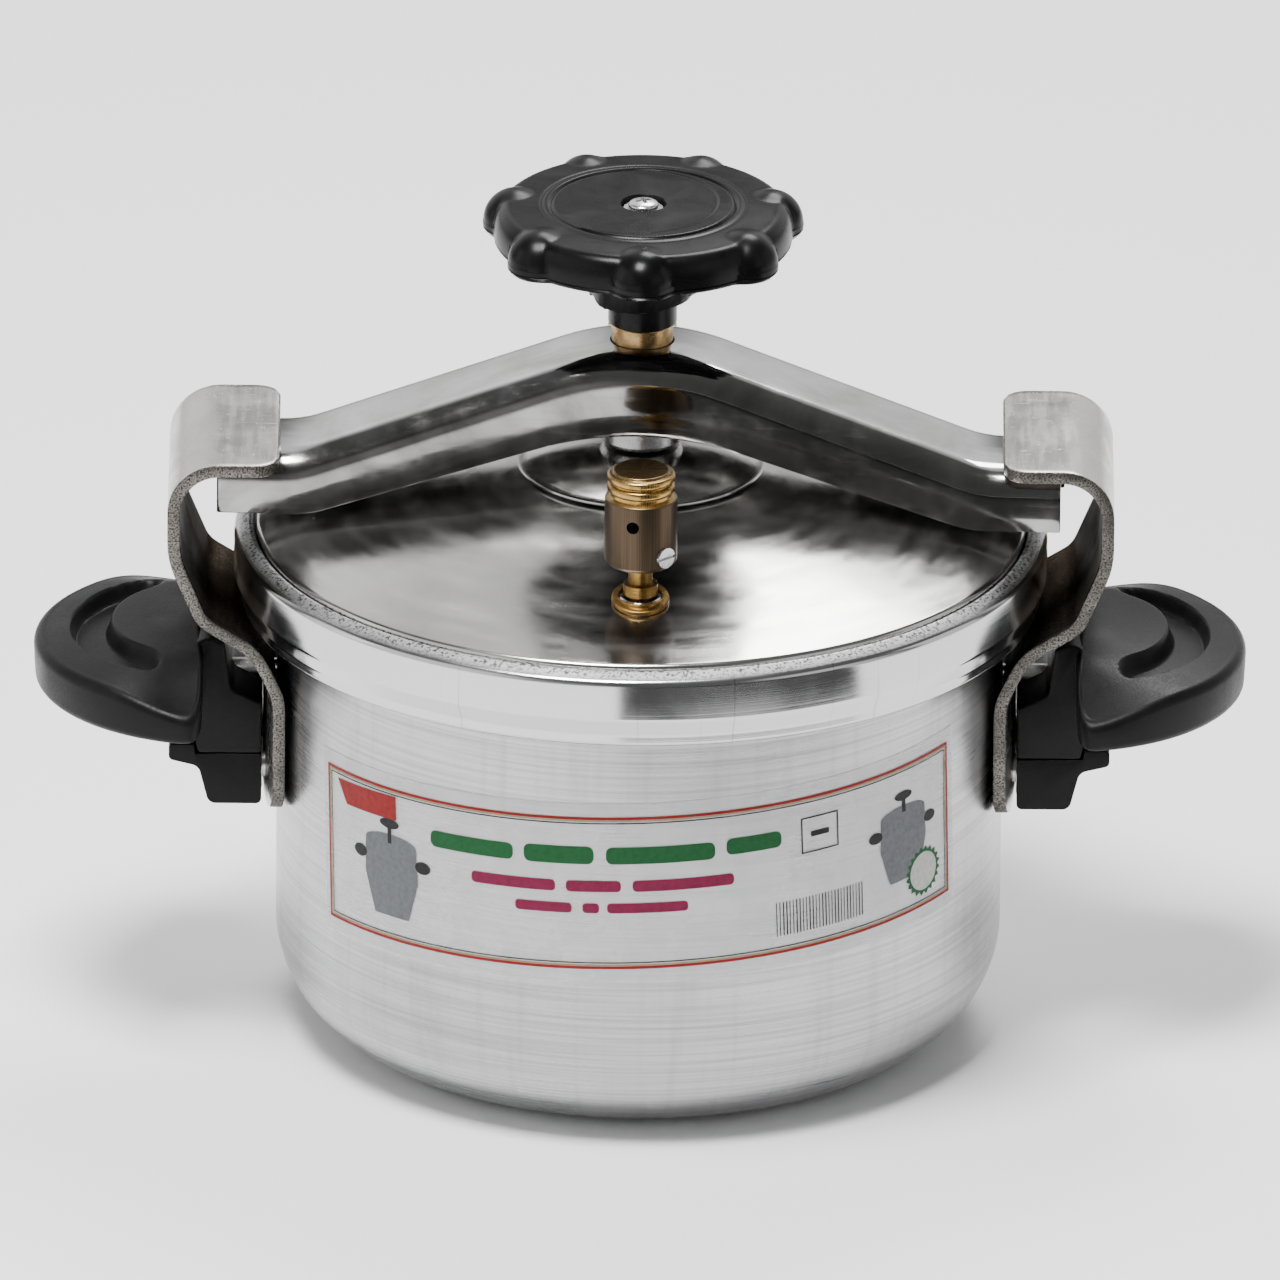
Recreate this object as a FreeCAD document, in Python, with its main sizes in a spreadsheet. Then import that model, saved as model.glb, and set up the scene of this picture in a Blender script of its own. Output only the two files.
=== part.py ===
import FreeCAD
import Part
import Sketcher

import math
import os
import re

# Stovetop pressure cooker. Millimetres, +Z up, origin at the centre of the pot's base,
# X through the two side handles, -Y is the side with the steam regulator.

V = FreeCAD.Vector
doc = FreeCAD.newDocument("pressure_cooker")

# ---------------------------------------------------------------- driving sizes
SIZES = {
    # pot
    "pot_radius": 100, "pot_height": 148, "pot_wall": 3.2, "base_thickness": 4,
    "base_corner": 31, "inner_corner": 27, "collar_out": 12, "waist_out": 10,
    "collar_depth": 25, "waist_top": 19, "band_depth": 14, "rim_fall": 2.8, "rim_round": 2.2,
    "mouth_out": 6.5, "seat_depth": 9, "collar_fillet": 3,
    "waist_rise": 3, "mouth_round": 1, "seat_round": 1.2,
    # lid
    "lid_gap": 0.5, "lid_sheet": 1.6, "lid_rise": 16, "skirt_depth": 5.5,
    "gasket_width": 5.6, "cap_radius": 34.2, "cap_rise": 7, "cap_sheet": 2,
    "seat_land": 0.3, "lid_round": 1.2,
    # steam regulator
    "regulator_inset": 30.5, "regulator_boss": 6, "stem_radius": 3.3, "stem_thread": 3,
    "stem_flange": 4.75, "stem_bore": 0.8, "weight_radius": 9.95, "ring_radius": 9.35,
    "groove_radius": 8.2, "weight_low": 17.7, "weight_height": 27.4, "weight_bore": 3.6,
    "needle_radius": 2.5, "pin_radius": 1.45, "set_screw_radius": 2.9, "set_screw_turn": 43,
    "vent_turn": 13, "vent_radius": 1.75, "vent_z": 13.8, "set_screw_z": 4.2,
    "stem_tail": 8, "flange_height": 3.2, "nozzle_inside": 8.3, "nozzle_cone": 5,
    "nozzle_lip": 0.7, "needle_cone": 2.2, "needle_head": 16, "pin_top": 20,
    "weight_chamfer": 1.3, "body_top": 19.6, "body_cone": 20.2, "first_ring": 21.2,
    "first_ring_top": 23.7, "second_ring": 24.3, "second_ring_top": 26.6, "ring_round": 1,
    "weight_flat": 7.6, "screw_slot": 0.8, "slot_depth": 1.2, "slot_sunk": 0.2, "screw_proud": 0.6,
    # safety valve
    "valve_inset": 31, "valve_boss": 10, "valve_thread": 5, "valve_flange": 9, "valve_barrel": 7,
    "valve_cap_radius": 9.5, "valve_cap_top": 28.3, "plunger_radius": 3.6, "plunger_stem": 1.2,
    "spring_wire": 0.9, "spring_radius": 2.5, "spring_turns": 5, "valve_floor": 4.6,
    "barrel_height": 10.8, "valve_tail": 7.5, "valve_bore": 1.5, "slide_gap": 0.4,
    "cap_skirt": 4, "cap_chamfer": 1.5, "valve_roof": 3, "plunger_head": 2.2, "pin_proud": 1.2,
    # yoke
    "yoke_over": 16, "yoke_width": 35, "yoke_sheet": 2.3, "yoke_top": 53, "yoke_hollow": 31.3,
    "yoke_slope": 20.4, "hollow_slope": 18.5, "yoke_shoulder": 8.5, "apex_round": 65,
    "hollow_round": 90, "end_round": 30, "end_low": 5.8, "yoke_turn": 2.5,
    "core_over": 6,
    # brass bush, foot and spindle
    "bush_radius": 8.5, "bush_rise": 5.3, "bush_nut_radius": 10.5, "bush_nut_height": 4,
    "spindle_radius": 6, "foot_radius": 12, "foot_height": 9, "foot_neck": 4, "neck_height": 5,
    "foot_chamfer": 1.5, "foot_bevel": 3,
    # hub and knob
    "hub_radius": 9.5, "hub_height": 6.2, "hub_collar_radius": 15, "knob_low": 81,
    "knob_radius": 45, "knob_height": 13, "lobe_radius": 9, "lobe_count": 7,
    "knob_recess": 6, "recess_depth": 3, "knob_screw_radius": 4.15,
    "knob_screw_shank": 2, "screw_depth": 8, "screw_edge": 1.2, "screw_head": 2.2, "screw_crown": 1.4,
    "spindle_into": 4, "crown_radius": 32, "crown_step": 0.7, "lobe_drop": 1.5,
    "knob_washer_gap": 0.6, "knob_washer_sheet": 0.7, "hub_taper": 2.5, "hub_edge": 0.5,
    "hub_cone": 5, "hub_band": 6,
    # hooks
    "hook_width": 60, "hook_sheet": 3.5, "lip_inset": 0.5, "lip_top": 26.2, "bulge_out": 30,
    "hook_tail": 77.5, "hook_bend": 12.5, "hook_waist_z": 43, "hook_corner": 8,
    "bulge_low": 1, "curl_in": 7.8, "curl_z": 19.7, "heel_out": 5, "heel_z": 28.5,
    "bulge_bend": 24, "curl_bend": 10, "heel_bend": 12, "waist_bend": 20,
    # handles
    "handle_out": 67, "handle_half": 53, "plate_top": 28.7, "plate_thickness": 19,
    "block_half": 21.5, "block_depth": 15.6, "block_low": 77, "parting_z": 62, "block_top": 50,
    "web_depth": 6.5, "bolt_z": 46, "bolt_radius": 3, "bolt_head": 6, "crescent_depth": 5,
    "crescent_radius": 31, "crescent_inner": 20, "crescent_tip": 10, "crescent_shift": 4,
    "grip_round": 4, "handle_screw_radius": 3, "grip_screw_depth": 9, "nut_pocket": 4,
    "head_inside": 4, "head_height": 3, "nut_play": 0.6, "bolt_short": 0.5, "screw_sunk": 1,
    "screw_bite": 6, "rivet_play": 0.5, "rivet_recess": 4, "rivet_flat": 2,
    # rivets and label
    "rivet_radius": 4, "rivet_head": 7, "rivet_spread": 12, "rivet_z": 69,
    "label_width": 172, "label_height": 53, "label_drop": 69.6, "label_tilt": 2.3,
    "label_film": 0.2,
    # clearances
    "fit_gap": 0.05, "seat_gap": 0.2, "rest_gap": 0.3, "slack": 0.5, "washer_sheet": 1,
    "nut_height": 5,
}

# sizes that follow from the driving ones
DERIVED = {
    "rim": "pot_height",
    "inner_radius": "pot_radius - pot_wall",
    "collar_radius": "pot_radius + collar_out",
    "collar_waist": "pot_radius + waist_out",
    "mouth_radius": "pot_radius + mouth_out",
    "yoke_half": "pot_radius + yoke_over",
    "lip_reach": "pot_radius - lip_inset",
    "bulge_reach": "pot_radius + bulge_out",
    "handle_reach": "pot_radius + handle_out",
    "label_z": "rim - label_drop",
    "regulator_y": "regulator_inset - lid_radius",
    "valve_y": "lid_radius - valve_inset",
    "lid_radius": "mouth_radius - lid_gap",
    "lid_slope": "lid_rise / (lid_radius - cap_radius)",
    "lid_steep": "sqrt(1 + lid_slope * lid_slope)",
    "lid_drop": "lid_sheet * lid_steep",
    "gasket_outer": "lid_radius - lid_sheet - fit_gap",
    "gasket_inner": "gasket_outer - gasket_width",
    # the flat seats stand just clear of the cone above and below it
    "regulator_seat": "rim + (regulator_inset + regulator_boss) * lid_slope + seat_land",
    "regulator_under": "rim + (regulator_inset - regulator_boss) * lid_slope - lid_drop - seat_land",
    "valve_seat": "rim + (valve_inset + valve_boss) * lid_slope + seat_land",
    "valve_under": "rim + (valve_inset - valve_boss) * lid_slope - lid_drop - seat_land",
    "nozzle_top": "weight_z + nozzle_inside",
    "weight_z": "rim + weight_low",
    "weight_top": "weight_z + weight_height",
    "cap_top": "rim + lid_rise + cap_rise",
    "foot_low": "cap_top + rest_gap",
    "foot_top": "foot_low + foot_height",
    "yoke_z": "rim + yoke_top",
    "end_top": "rim + lip_top - hook_sheet - rest_gap",
    "bush_top": "yoke_z + bush_rise",
    "hub_top": "bush_top + rest_gap + hub_height",
    "knob_z": "rim + knob_low",
    "knob_top": "knob_z + knob_height",
    "strip_x": "pot_radius + rest_gap",
    "strip_out": "strip_x + hook_sheet",
    "block_x": "strip_out + seat_gap",
    "block_end": "block_x + block_depth",
    "plate_z": "rim - plate_top",
}

sheet = doc.addObject("Spreadsheet::Sheet", "Sizes")
for row, (alias, number) in enumerate(SIZES.items(), start=1):
    sheet.set("A%d" % row, alias)
    sheet.set("B%d" % row, str(number))
    sheet.setAlias("B%d" % row, alias)
doc.recompute()


def formula(text):
    """Write out derived sizes and point each alias at the sheet."""
    def swap(match):
        word = match.group(0)
        if word in DERIVED:
            return "(" + formula(DERIVED[word]) + ")"
        return "Sizes." + word if word in SIZES else word
    return re.sub(r"[a-z_]+", swap, str(text))


def value(text):
    """The number that a formula gives now."""
    result = sheet.evalExpression(formula(text))
    return float(getattr(result, "Value", result))


def bind(obj, **properties):
    """Bind properties to formulas. Double underscores stand for dots."""
    for name, text in properties.items():
        obj.setExpression(name.replace("__", "."), formula(text))


parts = []


def keep(obj, label):
    """Count a finished object as a sub-part and give it its name."""
    obj.Label = label
    parts.append(obj)
    return obj


# ---------------------------------------------------------------- building helpers
def origin_plane(body, role):
    return next(f for f in body.Origin.OriginFeatures if f.Role == role)


def new_sketch(body, role, name):
    sketch = body.newObject("Sketcher::SketchObject", name)
    sketch.AttachmentSupport = [(origin_plane(body, role), "")]
    sketch.MapMode = "FlatFace"
    return sketch


def polygon(sketch, corners):
    """A closed outline whose corners are pairs of formulas."""
    flat = [V(value(a), value(b), 0) for a, b in corners]
    first = sketch.GeometryCount
    for i, point in enumerate(flat):
        following = flat[(i + 1) % len(flat)]
        sketch.addGeometry(Part.LineSegment(point, following), False)
    for i, (a, b) in enumerate(corners):
        line = first + i
        following = first + (i + 1) % len(corners)
        sketch.addConstraint(Sketcher.Constraint("Coincident", line, 2, following, 1))
        for kind, text, number in (("DistanceX", a, flat[i].x), ("DistanceY", b, flat[i].y)):
            index = sketch.addConstraint(Sketcher.Constraint(kind, line, 1, number))
            sketch.setExpression("Constraints[%d]" % index, formula(text))


def circle(sketch, x, y, radius):
    """A circle whose centre and radius are formulas."""
    centre = V(value(x), value(y), 0)
    index = sketch.addGeometry(Part.Circle(centre, V(0, 0, 1), value(radius)), False)
    rules = (("DistanceX", x, centre.x), ("DistanceY", y, centre.y))
    for kind, text, number in rules:
        rule = sketch.addConstraint(Sketcher.Constraint(kind, index, 3, number))
        sketch.setExpression("Constraints[%d]" % rule, formula(text))
    rule = sketch.addConstraint(Sketcher.Constraint("Radius", index, value(radius)))
    sketch.setExpression("Constraints[%d]" % rule, formula(radius))


def new_body(name):
    return doc.addObject("PartDesign::Body", name)


def round_edges(body, radius, chosen):
    """Fillet the edges of the body's tip that the test picks."""
    doc.recompute()
    tip = body.Tip
    names = ["Edge%d" % (i + 1) for i, edge in enumerate(tip.Shape.Edges) if chosen(edge)]
    if not names:
        raise RuntimeError("no edges to round on " + body.Name)
    fillet = body.newObject("PartDesign::Fillet", "Fillet")
    fillet.Base = (tip, names)
    bind(fillet, Radius=radius)
    doc.recompute()


def ring_at(r, z):
    """Picks the round edge of radius r at height z."""
    r, z = value(r), value(z)

    def test(edge):
        curve = edge.Curve
        if not isinstance(curve, Part.Circle) or abs(curve.Axis.z) < 0.99:
            return False
        return abs(curve.Radius - r) < 0.01 and abs(curve.Center.z - z) < 0.01
    return test


def turned(label, outline, rounds=(), at=None):
    """A body of revolution about Z from pairs of radius and height formulas."""
    body = new_body(label)
    sketch = new_sketch(body, "XZ_Plane", "outline")
    polygon(sketch, outline)
    turn = body.newObject("PartDesign::Revolution", "turn")
    turn.Profile = sketch
    turn.ReferenceAxis = (sketch, ["V_Axis"])
    turn.Angle = 360
    for r, z, radius in rounds:
        round_edges(body, radius, ring_at(r, z))
    if at:
        bind(body, Placement__Base__x=at[0], Placement__Base__y=at[1])
    return keep(body, label)


def block(label, low, high):
    """A plain bar between two corners given as formulas."""
    bar = doc.addObject("Part::Box", label)
    bind(bar, Placement__Base__x=low[0], Placement__Base__y=low[1], Placement__Base__z=low[2],
         Length="(%s) - (%s)" % (high[0], low[0]), Width="(%s) - (%s)" % (high[1], low[1]),
         Height="(%s) - (%s)" % (high[2], low[2]))
    return bar


def rod(label, radius, start, length, axis, angle=90):
    """A cylinder from a start point, turned by angle about an axis from +Z."""
    pin = doc.addObject("Part::Cylinder", label)
    pin.Placement.Rotation = FreeCAD.Rotation(axis, angle)
    bind(pin, Radius=radius, Height=length, Placement__Base__x=start[0],
         Placement__Base__y=start[1], Placement__Base__z=start[2])
    return pin


def joined(label, pieces):
    fuse = doc.addObject("Part::MultiFuse", label)
    fuse.Shapes = pieces
    return fuse


def cut(label, base, tool):
    result = doc.addObject("Part::Cut", label)
    result.Base = base
    result.Tool = tool
    return result


def bundle(label, pieces):
    """Separate identical fasteners under one name."""
    group = doc.addObject("Part::Compound", label)
    group.Links = pieces
    return keep(group, label)


def mirrored(label, source):
    """The same piece on the other side of the YZ plane."""
    twin = doc.addObject("Part::Mirroring", label)
    twin.Source = source
    twin.Normal = V(1, 0, 0)
    return twin


# ---------------------------------------------------------------- pot
def make_pot():
    """Drawn shell with a rolled collar, a seat for the lid and holes for the fixings."""
    under = "rim - collar_depth"
    outline = [
        ("0", "0"), ("pot_radius", "0"), ("pot_radius", under),
        ("collar_waist", under + " + waist_rise"), ("collar_waist", "rim - waist_top"),
        ("collar_radius", "rim - band_depth"), ("collar_radius", "rim - rim_fall"),
        ("mouth_radius", "rim"), ("mouth_radius", "rim - seat_depth"),
        ("inner_radius", "rim - seat_depth"), ("inner_radius", "base_thickness"),
        ("0", "base_thickness"),
    ]
    body = turned("pot_shell", outline, [
        ("pot_radius", "0", "base_corner"), ("inner_radius", "base_thickness", "inner_corner"),
        ("pot_radius", under, "collar_fillet"), ("collar_radius", "rim - rim_fall", "rim_round"),
        ("mouth_radius", "rim", "mouth_round"), ("inner_radius", "rim - seat_depth", "seat_round"),
    ])
    # fixing holes: one bolt and two rivets on each side
    sketch = new_sketch(body, "YZ_Plane", "fixings")
    circle(sketch, "0", "rim - bolt_z", "bolt_radius + fit_gap")
    for side in ("-1", "1"):
        circle(sketch, side + " * rivet_spread", "rim - rivet_z", "rivet_radius + fit_gap")
    pocket = body.newObject("PartDesign::Pocket", "fixing_holes")
    pocket.Profile = sketch
    pocket.Type = "ThroughAll"
    pocket.Midplane = True
    return body


# ---------------------------------------------------------------- lid
def make_lid():
    """Pressed cone with a turned-down skirt and flat seats for the two valves."""
    edge = "rim - skirt_depth"
    inner = "lid_radius - lid_sheet"
    outline = [
        ("0", "rim + lid_rise"), ("cap_radius", "rim + lid_rise"), ("lid_radius", "rim"),
        ("lid_radius", edge), (inner, edge), (inner, "rim + lid_sheet * lid_slope - lid_drop"),
        ("cap_radius", "rim + lid_rise - lid_drop"), ("0", "rim + lid_rise - lid_drop"),
    ]
    body = turned("lid_shell", outline, [("lid_radius", "rim", "lid_round")])
    seats = (
        ("regulator_y", "regulator_boss", "regulator_seat", "regulator_under", "stem_thread"),
        ("valve_y", "valve_boss", "valve_seat", "valve_under", "valve_thread"),
    )
    for place, boss, top, under, thread in seats:
        sketch = new_sketch(body, "XY_Plane", "seat")
        bind(sketch, AttachmentOffset__Base__z=under)
        circle(sketch, "0", place, boss)
        pad = body.newObject("PartDesign::Pad", "seat_pad")
        pad.Profile = sketch
        bind(pad, Length="(%s) - (%s)" % (top, under))
    for place, boss, top, under, thread in seats:
        sketch = new_sketch(body, "XY_Plane", "bore")
        circle(sketch, "0", place, thread + " + fit_gap")
        bore = body.newObject("PartDesign::Pocket", "seat_bore")
        bore.Profile = sketch
        bore.Type = "ThroughAll"
        bore.Midplane = True
    turned("lid_gasket", [
        ("gasket_inner", "rim - seat_depth + seat_gap"), ("gasket_outer", "rim - seat_depth + seat_gap"),
        ("gasket_outer", "rim + (lid_radius - gasket_outer) * lid_slope - lid_drop - fit_gap"),
        ("gasket_inner", "rim + (lid_radius - gasket_inner) * lid_slope - lid_drop - fit_gap"),
    ])
    return body


def make_cap():
    """Shallow domed disc: a slice of a spherical shell."""
    sphere = "((cap_radius * cap_radius + cap_rise * cap_rise) / (2 * cap_rise))"
    centre = "cap_top - " + sphere
    balls = []
    for name, radius in (("cap_outer", sphere), ("cap_inner", sphere + " - cap_sheet")):
        ball = doc.addObject("Part::Sphere", name)
        bind(ball, Radius=radius, Placement__Base__z=centre)
        balls.append(ball)
    disc = rod("cap_disc", "cap_radius", ("0", "0", "rim + lid_rise + fit_gap"), "cap_rise + 5",
               V(0, 0, 1), 0)
    shell = cut("cap_shell", balls[0], balls[1])
    cap = doc.addObject("Part::MultiCommon", "lid_cap")
    cap.Shapes = [shell, disc]
    keep(cap, "lid_cap")


# ---------------------------------------------------------------- steam regulator
def make_regulator():
    at = ("0", "regulator_y")
    turned("regulator_stem", [
        ("stem_bore", "regulator_under - stem_tail"), ("stem_thread", "regulator_under - stem_tail"),
        ("stem_thread", "regulator_seat + fit_gap"), ("stem_flange", "regulator_seat + fit_gap"),
        ("stem_flange", "regulator_seat + flange_height"), ("stem_radius", "regulator_seat + flange_height"),
        ("stem_radius", "nozzle_top - nozzle_cone"), ("stem_bore + nozzle_lip", "nozzle_top"),
        ("stem_bore", "nozzle_top"),
    ], at=at)
    turned("regulator_washer", [
        ("stem_thread + fit_gap", "regulator_under - fit_gap - washer_sheet"),
        ("regulator_boss", "regulator_under - fit_gap - washer_sheet"),
        ("regulator_boss", "regulator_under - fit_gap"),
        ("stem_thread + fit_gap", "regulator_under - fit_gap"),
    ], at=at)
    hex_nut("regulator_nut", "regulator_boss", "stem_thread + fit_gap",
            "regulator_under - 2 * fit_gap - washer_sheet - nut_height", at)
    turned("regulator_needle", [
        ("0", "nozzle_top - rest_gap"), ("stem_bore / 2", "nozzle_top - rest_gap"),
        ("needle_radius", "nozzle_top + needle_cone"), ("needle_radius", "weight_z + needle_head"),
        ("pin_radius", "weight_z + needle_head"), ("pin_radius", "weight_z + pin_top"),
        ("0", "weight_z + pin_top"),
    ], at=at)
    # the weight: a drilled brass cylinder with two rounded rings at its top
    groove = "groove_radius"
    body = turned("regulator_weight", [
        ("weight_bore", "weight_z"), ("weight_radius - weight_chamfer", "weight_z"),
        ("weight_radius", "weight_z + weight_chamfer"), ("weight_radius", "weight_z + body_top"),
        (groove, "weight_z + body_cone"), (groove, "weight_z + first_ring"),
        ("ring_radius", "weight_z + first_ring"), ("ring_radius", "weight_z + first_ring_top"),
        (groove, "weight_z + first_ring_top"), (groove, "weight_z + second_ring"),
        ("ring_radius", "weight_z + second_ring"), ("ring_radius", "weight_z + second_ring_top"),
        ("weight_flat", "weight_top"), ("0", "weight_top"), ("0", "weight_z + pin_top + rest_gap"),
        ("pin_radius + fit_gap", "weight_z + pin_top + rest_gap"),
        ("pin_radius + fit_gap", "weight_z + needle_head + rest_gap"),
        ("weight_bore", "weight_z + needle_head + rest_gap"),
    ], [("ring_radius", "weight_z + first_ring", "ring_round"),
        ("ring_radius", "weight_z + first_ring_top", "ring_round"),
        ("ring_radius", "weight_z + second_ring", "ring_round")], at=at)
    # radial steam hole and the threaded hole of the set screw
    for name, turn, height, radius in (
            ("vent", "-1 * vent_turn", "weight_z + vent_z", "vent_radius"),
            ("tapped", "set_screw_turn", "weight_z + set_screw_z", "set_screw_radius + fit_gap")):
        hole = body.newObject("PartDesign::SubtractiveCylinder", name)
        bind(hole, Radius=radius, Height="weight_radius + weight_chamfer")
        hole.AttachmentSupport = None
        hole.MapMode = "Deactivated"
        tilt = FreeCAD.Rotation(V(0, 0, 1), value(turn)) * FreeCAD.Rotation(V(1, 0, 0), 90)
        hole.Placement = FreeCAD.Placement(V(0, 0, value(height)), tilt)
        bind(hole, Placement__Base__z=height)
    # set screw: a short stud whose slotted head stands just proud of the weight
    stud = doc.addObject("Part::Cylinder", "set_screw_stud")
    bind(stud, Radius="set_screw_radius", Height="weight_radius - weight_bore - rest_gap + screw_proud")
    slot = doc.addObject("Part::Box", "set_screw_slot")
    bind(slot, Length="3 * set_screw_radius", Width="screw_slot", Height="slot_depth",
         Placement__Base__x="-1.5 * set_screw_radius", Placement__Base__y="-1 * screw_slot / 2",
         Placement__Base__z="weight_radius - weight_bore - rest_gap - slot_sunk")
    screw = cut("regulator_set_screw", stud, slot)
    tilt = FreeCAD.Rotation(V(0, 0, 1), value("set_screw_turn")) * FreeCAD.Rotation(V(1, 0, 0), 90)
    screw.Placement = FreeCAD.Placement(V(0, 0, 0), tilt)
    reach = "(weight_bore + rest_gap)"
    bind(screw, Placement__Base__x=reach + " * sin(set_screw_turn)",
         Placement__Base__y="regulator_y - " + reach + " * cos(set_screw_turn)",
         Placement__Base__z="weight_z + set_screw_z")
    keep(screw, "regulator_set_screw")


def hex_nut(label, across, bore, low, at):
    """A hexagon nut; across is its corner radius."""
    blank = doc.addObject("Part::Prism", label + "_blank")
    blank.Polygon = 6
    bind(blank, Circumradius=across, Height="nut_height", Placement__Base__x=at[0],
         Placement__Base__y=at[1], Placement__Base__z=low)
    drill = rod(label + "_drill", bore, (at[0], at[1], "(%s) - 1" % low), "nut_height + 2",
                V(0, 0, 1), 0)
    return keep(cut(label, blank, drill), label)


# ---------------------------------------------------------------- safety valve
def make_safety_valve():
    at = ("0", "valve_y")
    seat = "valve_seat + valve_floor"
    barrel_top = "valve_seat + barrel_height"
    turned("safety_body", [
        ("valve_bore", "valve_under - valve_tail"), ("valve_thread", "valve_under - valve_tail"),
        ("valve_thread", "valve_seat + fit_gap"), ("valve_flange", "valve_seat + fit_gap"),
        ("valve_flange", "valve_seat + flange_height"), ("valve_barrel", "valve_seat + flange_height"),
        ("valve_barrel", barrel_top), ("plunger_radius + slide_gap", barrel_top),
        ("plunger_radius + slide_gap", seat), ("valve_bore", seat),
    ], at=at)
    turned("safety_washer", [
        ("valve_thread + fit_gap", "valve_under - fit_gap - washer_sheet"),
        ("valve_flange", "valve_under - fit_gap - washer_sheet"),
        ("valve_flange", "valve_under - fit_gap"),
        ("valve_thread + fit_gap", "valve_under - fit_gap"),
    ], at=at)
    hex_nut("safety_nut", "valve_flange", "valve_thread + fit_gap",
            "valve_under - 2 * fit_gap - washer_sheet - nut_height", at)
    top = "rim + valve_cap_top"
    turned("safety_cap", [
        ("valve_barrel + fit_gap", "valve_seat + cap_skirt"),
        ("valve_cap_radius", "valve_seat + cap_skirt"),
        ("valve_cap_radius", top + " - cap_chamfer"), ("valve_cap_radius - cap_chamfer", top),
        ("plunger_stem + fit_gap", top), ("plunger_stem + fit_gap", top + " - valve_roof"),
        ("plunger_radius + slide_gap", top + " - valve_roof"),
        ("plunger_radius + slide_gap", barrel_top + " + fit_gap"),
        ("valve_barrel + fit_gap", barrel_top + " + fit_gap"),
    ], at=at)
    turned("safety_plunger", [
        ("0", seat + " + seat_gap"), ("plunger_radius", seat + " + seat_gap"),
        ("plunger_radius", seat + " + plunger_head"), ("plunger_stem", seat + " + plunger_head"),
        ("plunger_stem", top + " + pin_proud"), ("0", top + " + pin_proud"),
    ], at=at)
    # coil spring between the plunger's shoulder and the cap
    low = value(seat + " + plunger_head + fit_gap + spring_wire / 2")
    high = value(top + " - valve_roof - fit_gap - spring_wire / 2")
    radius = value("spring_radius")
    turns = value("spring_turns")
    helix = Part.makeHelix((high - low) / turns, high - low, radius)
    ring = Part.Wire(Part.makeCircle(value("spring_wire") / 2, V(radius, 0, 0), V(0, 1, 0)))
    coil = Part.Wire(helix).makePipeShell([ring], True, True)
    coil.translate(V(0, value("valve_y"), low))
    spring = doc.addObject("Part::Feature", "safety_spring")
    spring.Shape = coil
    keep(spring, "safety_spring")


# ---------------------------------------------------------------- yoke, bush, foot
def corner_at(x, z):
    """Picks the edge that runs along Y through the point x, z."""
    def test(edge):
        points = [v.Point for v in edge.Vertexes]
        if len(points) != 2 or abs(points[0].y - points[1].y) < 1:
            return False
        return all(abs(p.x - x) < 0.01 and abs(p.z - z) < 0.01 for p in points)
    return test


def chevron(name, top, hollow, end, low, half_width, apex, hollow_round, slope, hollow_slope):
    """A solid chevron bar with rounded bends, as a body of its own."""
    body = new_body(name)
    knee = "(((%s) - (%s)) / tan(%s))" % (top, end, slope)
    dip = "(((%s) - (%s)) / tan(%s))" % (hollow, low, hollow_slope)
    sketch = new_sketch(body, "XZ_Plane", "side_view")
    polygon(sketch, [
        ("-1 * yoke_half", low), ("-1 * " + dip, low), ("0", hollow), (dip, low),
        ("yoke_half", low), ("yoke_half", end), (knee, end), ("0", top),
        ("-1 * " + knee, end), ("-1 * yoke_half", end),
    ])
    pad = body.newObject("PartDesign::Pad", "bar")
    pad.Profile = sketch
    pad.Midplane = True
    bind(pad, Length="2 * (%s)" % half_width)
    for sign in (-1, 1):
        round_edges(body, "end_round", corner_at(sign * value(knee), value(end)))
        round_edges(body, "end_round", corner_at(sign * value(dip), value(low)))
    round_edges(body, apex, corner_at(0, value(top)))
    round_edges(body, hollow_round, corner_at(0, value(hollow)))
    return body


def make_yoke():
    """Pressed channel: a rounded outer bar less the same bar shrunk by the sheet."""
    # the rounded apex is lower than the corner that it replaces
    lift = "apex_round * (1 / cos(yoke_slope) - 1)"
    hollow_lift = "hollow_round * (1 / cos(hollow_slope) - 1)"
    low = "rim + end_low"
    half = "yoke_width / 2"
    outer = chevron("yoke_outer", "yoke_z + " + lift, "rim + yoke_hollow + " + hollow_lift,
                    "end_top", low, half, "apex_round", "hollow_round", "yoke_slope",
                    "hollow_slope")
    shoulders(outer, value(half), "yoke_shoulder")
    sheet_up = "yoke_sheet / cos(yoke_slope)"
    inner = chevron("yoke_inner", "yoke_z + %s - %s" % (lift, sheet_up),
                    "rim + yoke_hollow + %s - core_over" % hollow_lift, "end_top - yoke_sheet",
                    low + " - core_over", half + " - yoke_sheet", "apex_round", "hollow_round",
                    "yoke_slope", "hollow_slope")
    shoulders(inner, value(half + " - yoke_sheet"), "yoke_shoulder - yoke_sheet")
    channel = cut("yoke_shell", outer, inner)
    hole = rod("yoke_hole", "bush_radius + fit_gap", ("0", "0", "rim"), "yoke_top + 10",
               V(0, 0, 1), 0)
    channel = cut("yoke_channel", channel, hole)
    channel.Placement.Rotation = FreeCAD.Rotation(V(0, 0, -1), value("yoke_turn"))
    bind(channel, Placement__Rotation__Angle="yoke_turn")
    keep(channel, "yoke_channel")


def shoulders(body, half_width, radius):
    """Round the two long upper edges of a chevron bar."""
    middle = value("rim + end_low + 4")

    def test(edge):
        box = edge.BoundBox
        flat = abs(abs(box.YMax) - half_width) < 0.01 and box.YLength < 0.01
        if not flat or box.XLength < 0.5:
            return False
        x, z = edge.CenterOfMass.x, edge.CenterOfMass.z
        ridge = max(value("end_top") - 3 * value("yoke_sheet"),
                    value("yoke_z") - 8 - abs(x) * math.tan(math.radians(value("yoke_slope"))))
        return z > middle and z > ridge
    round_edges(body, radius, test)


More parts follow.
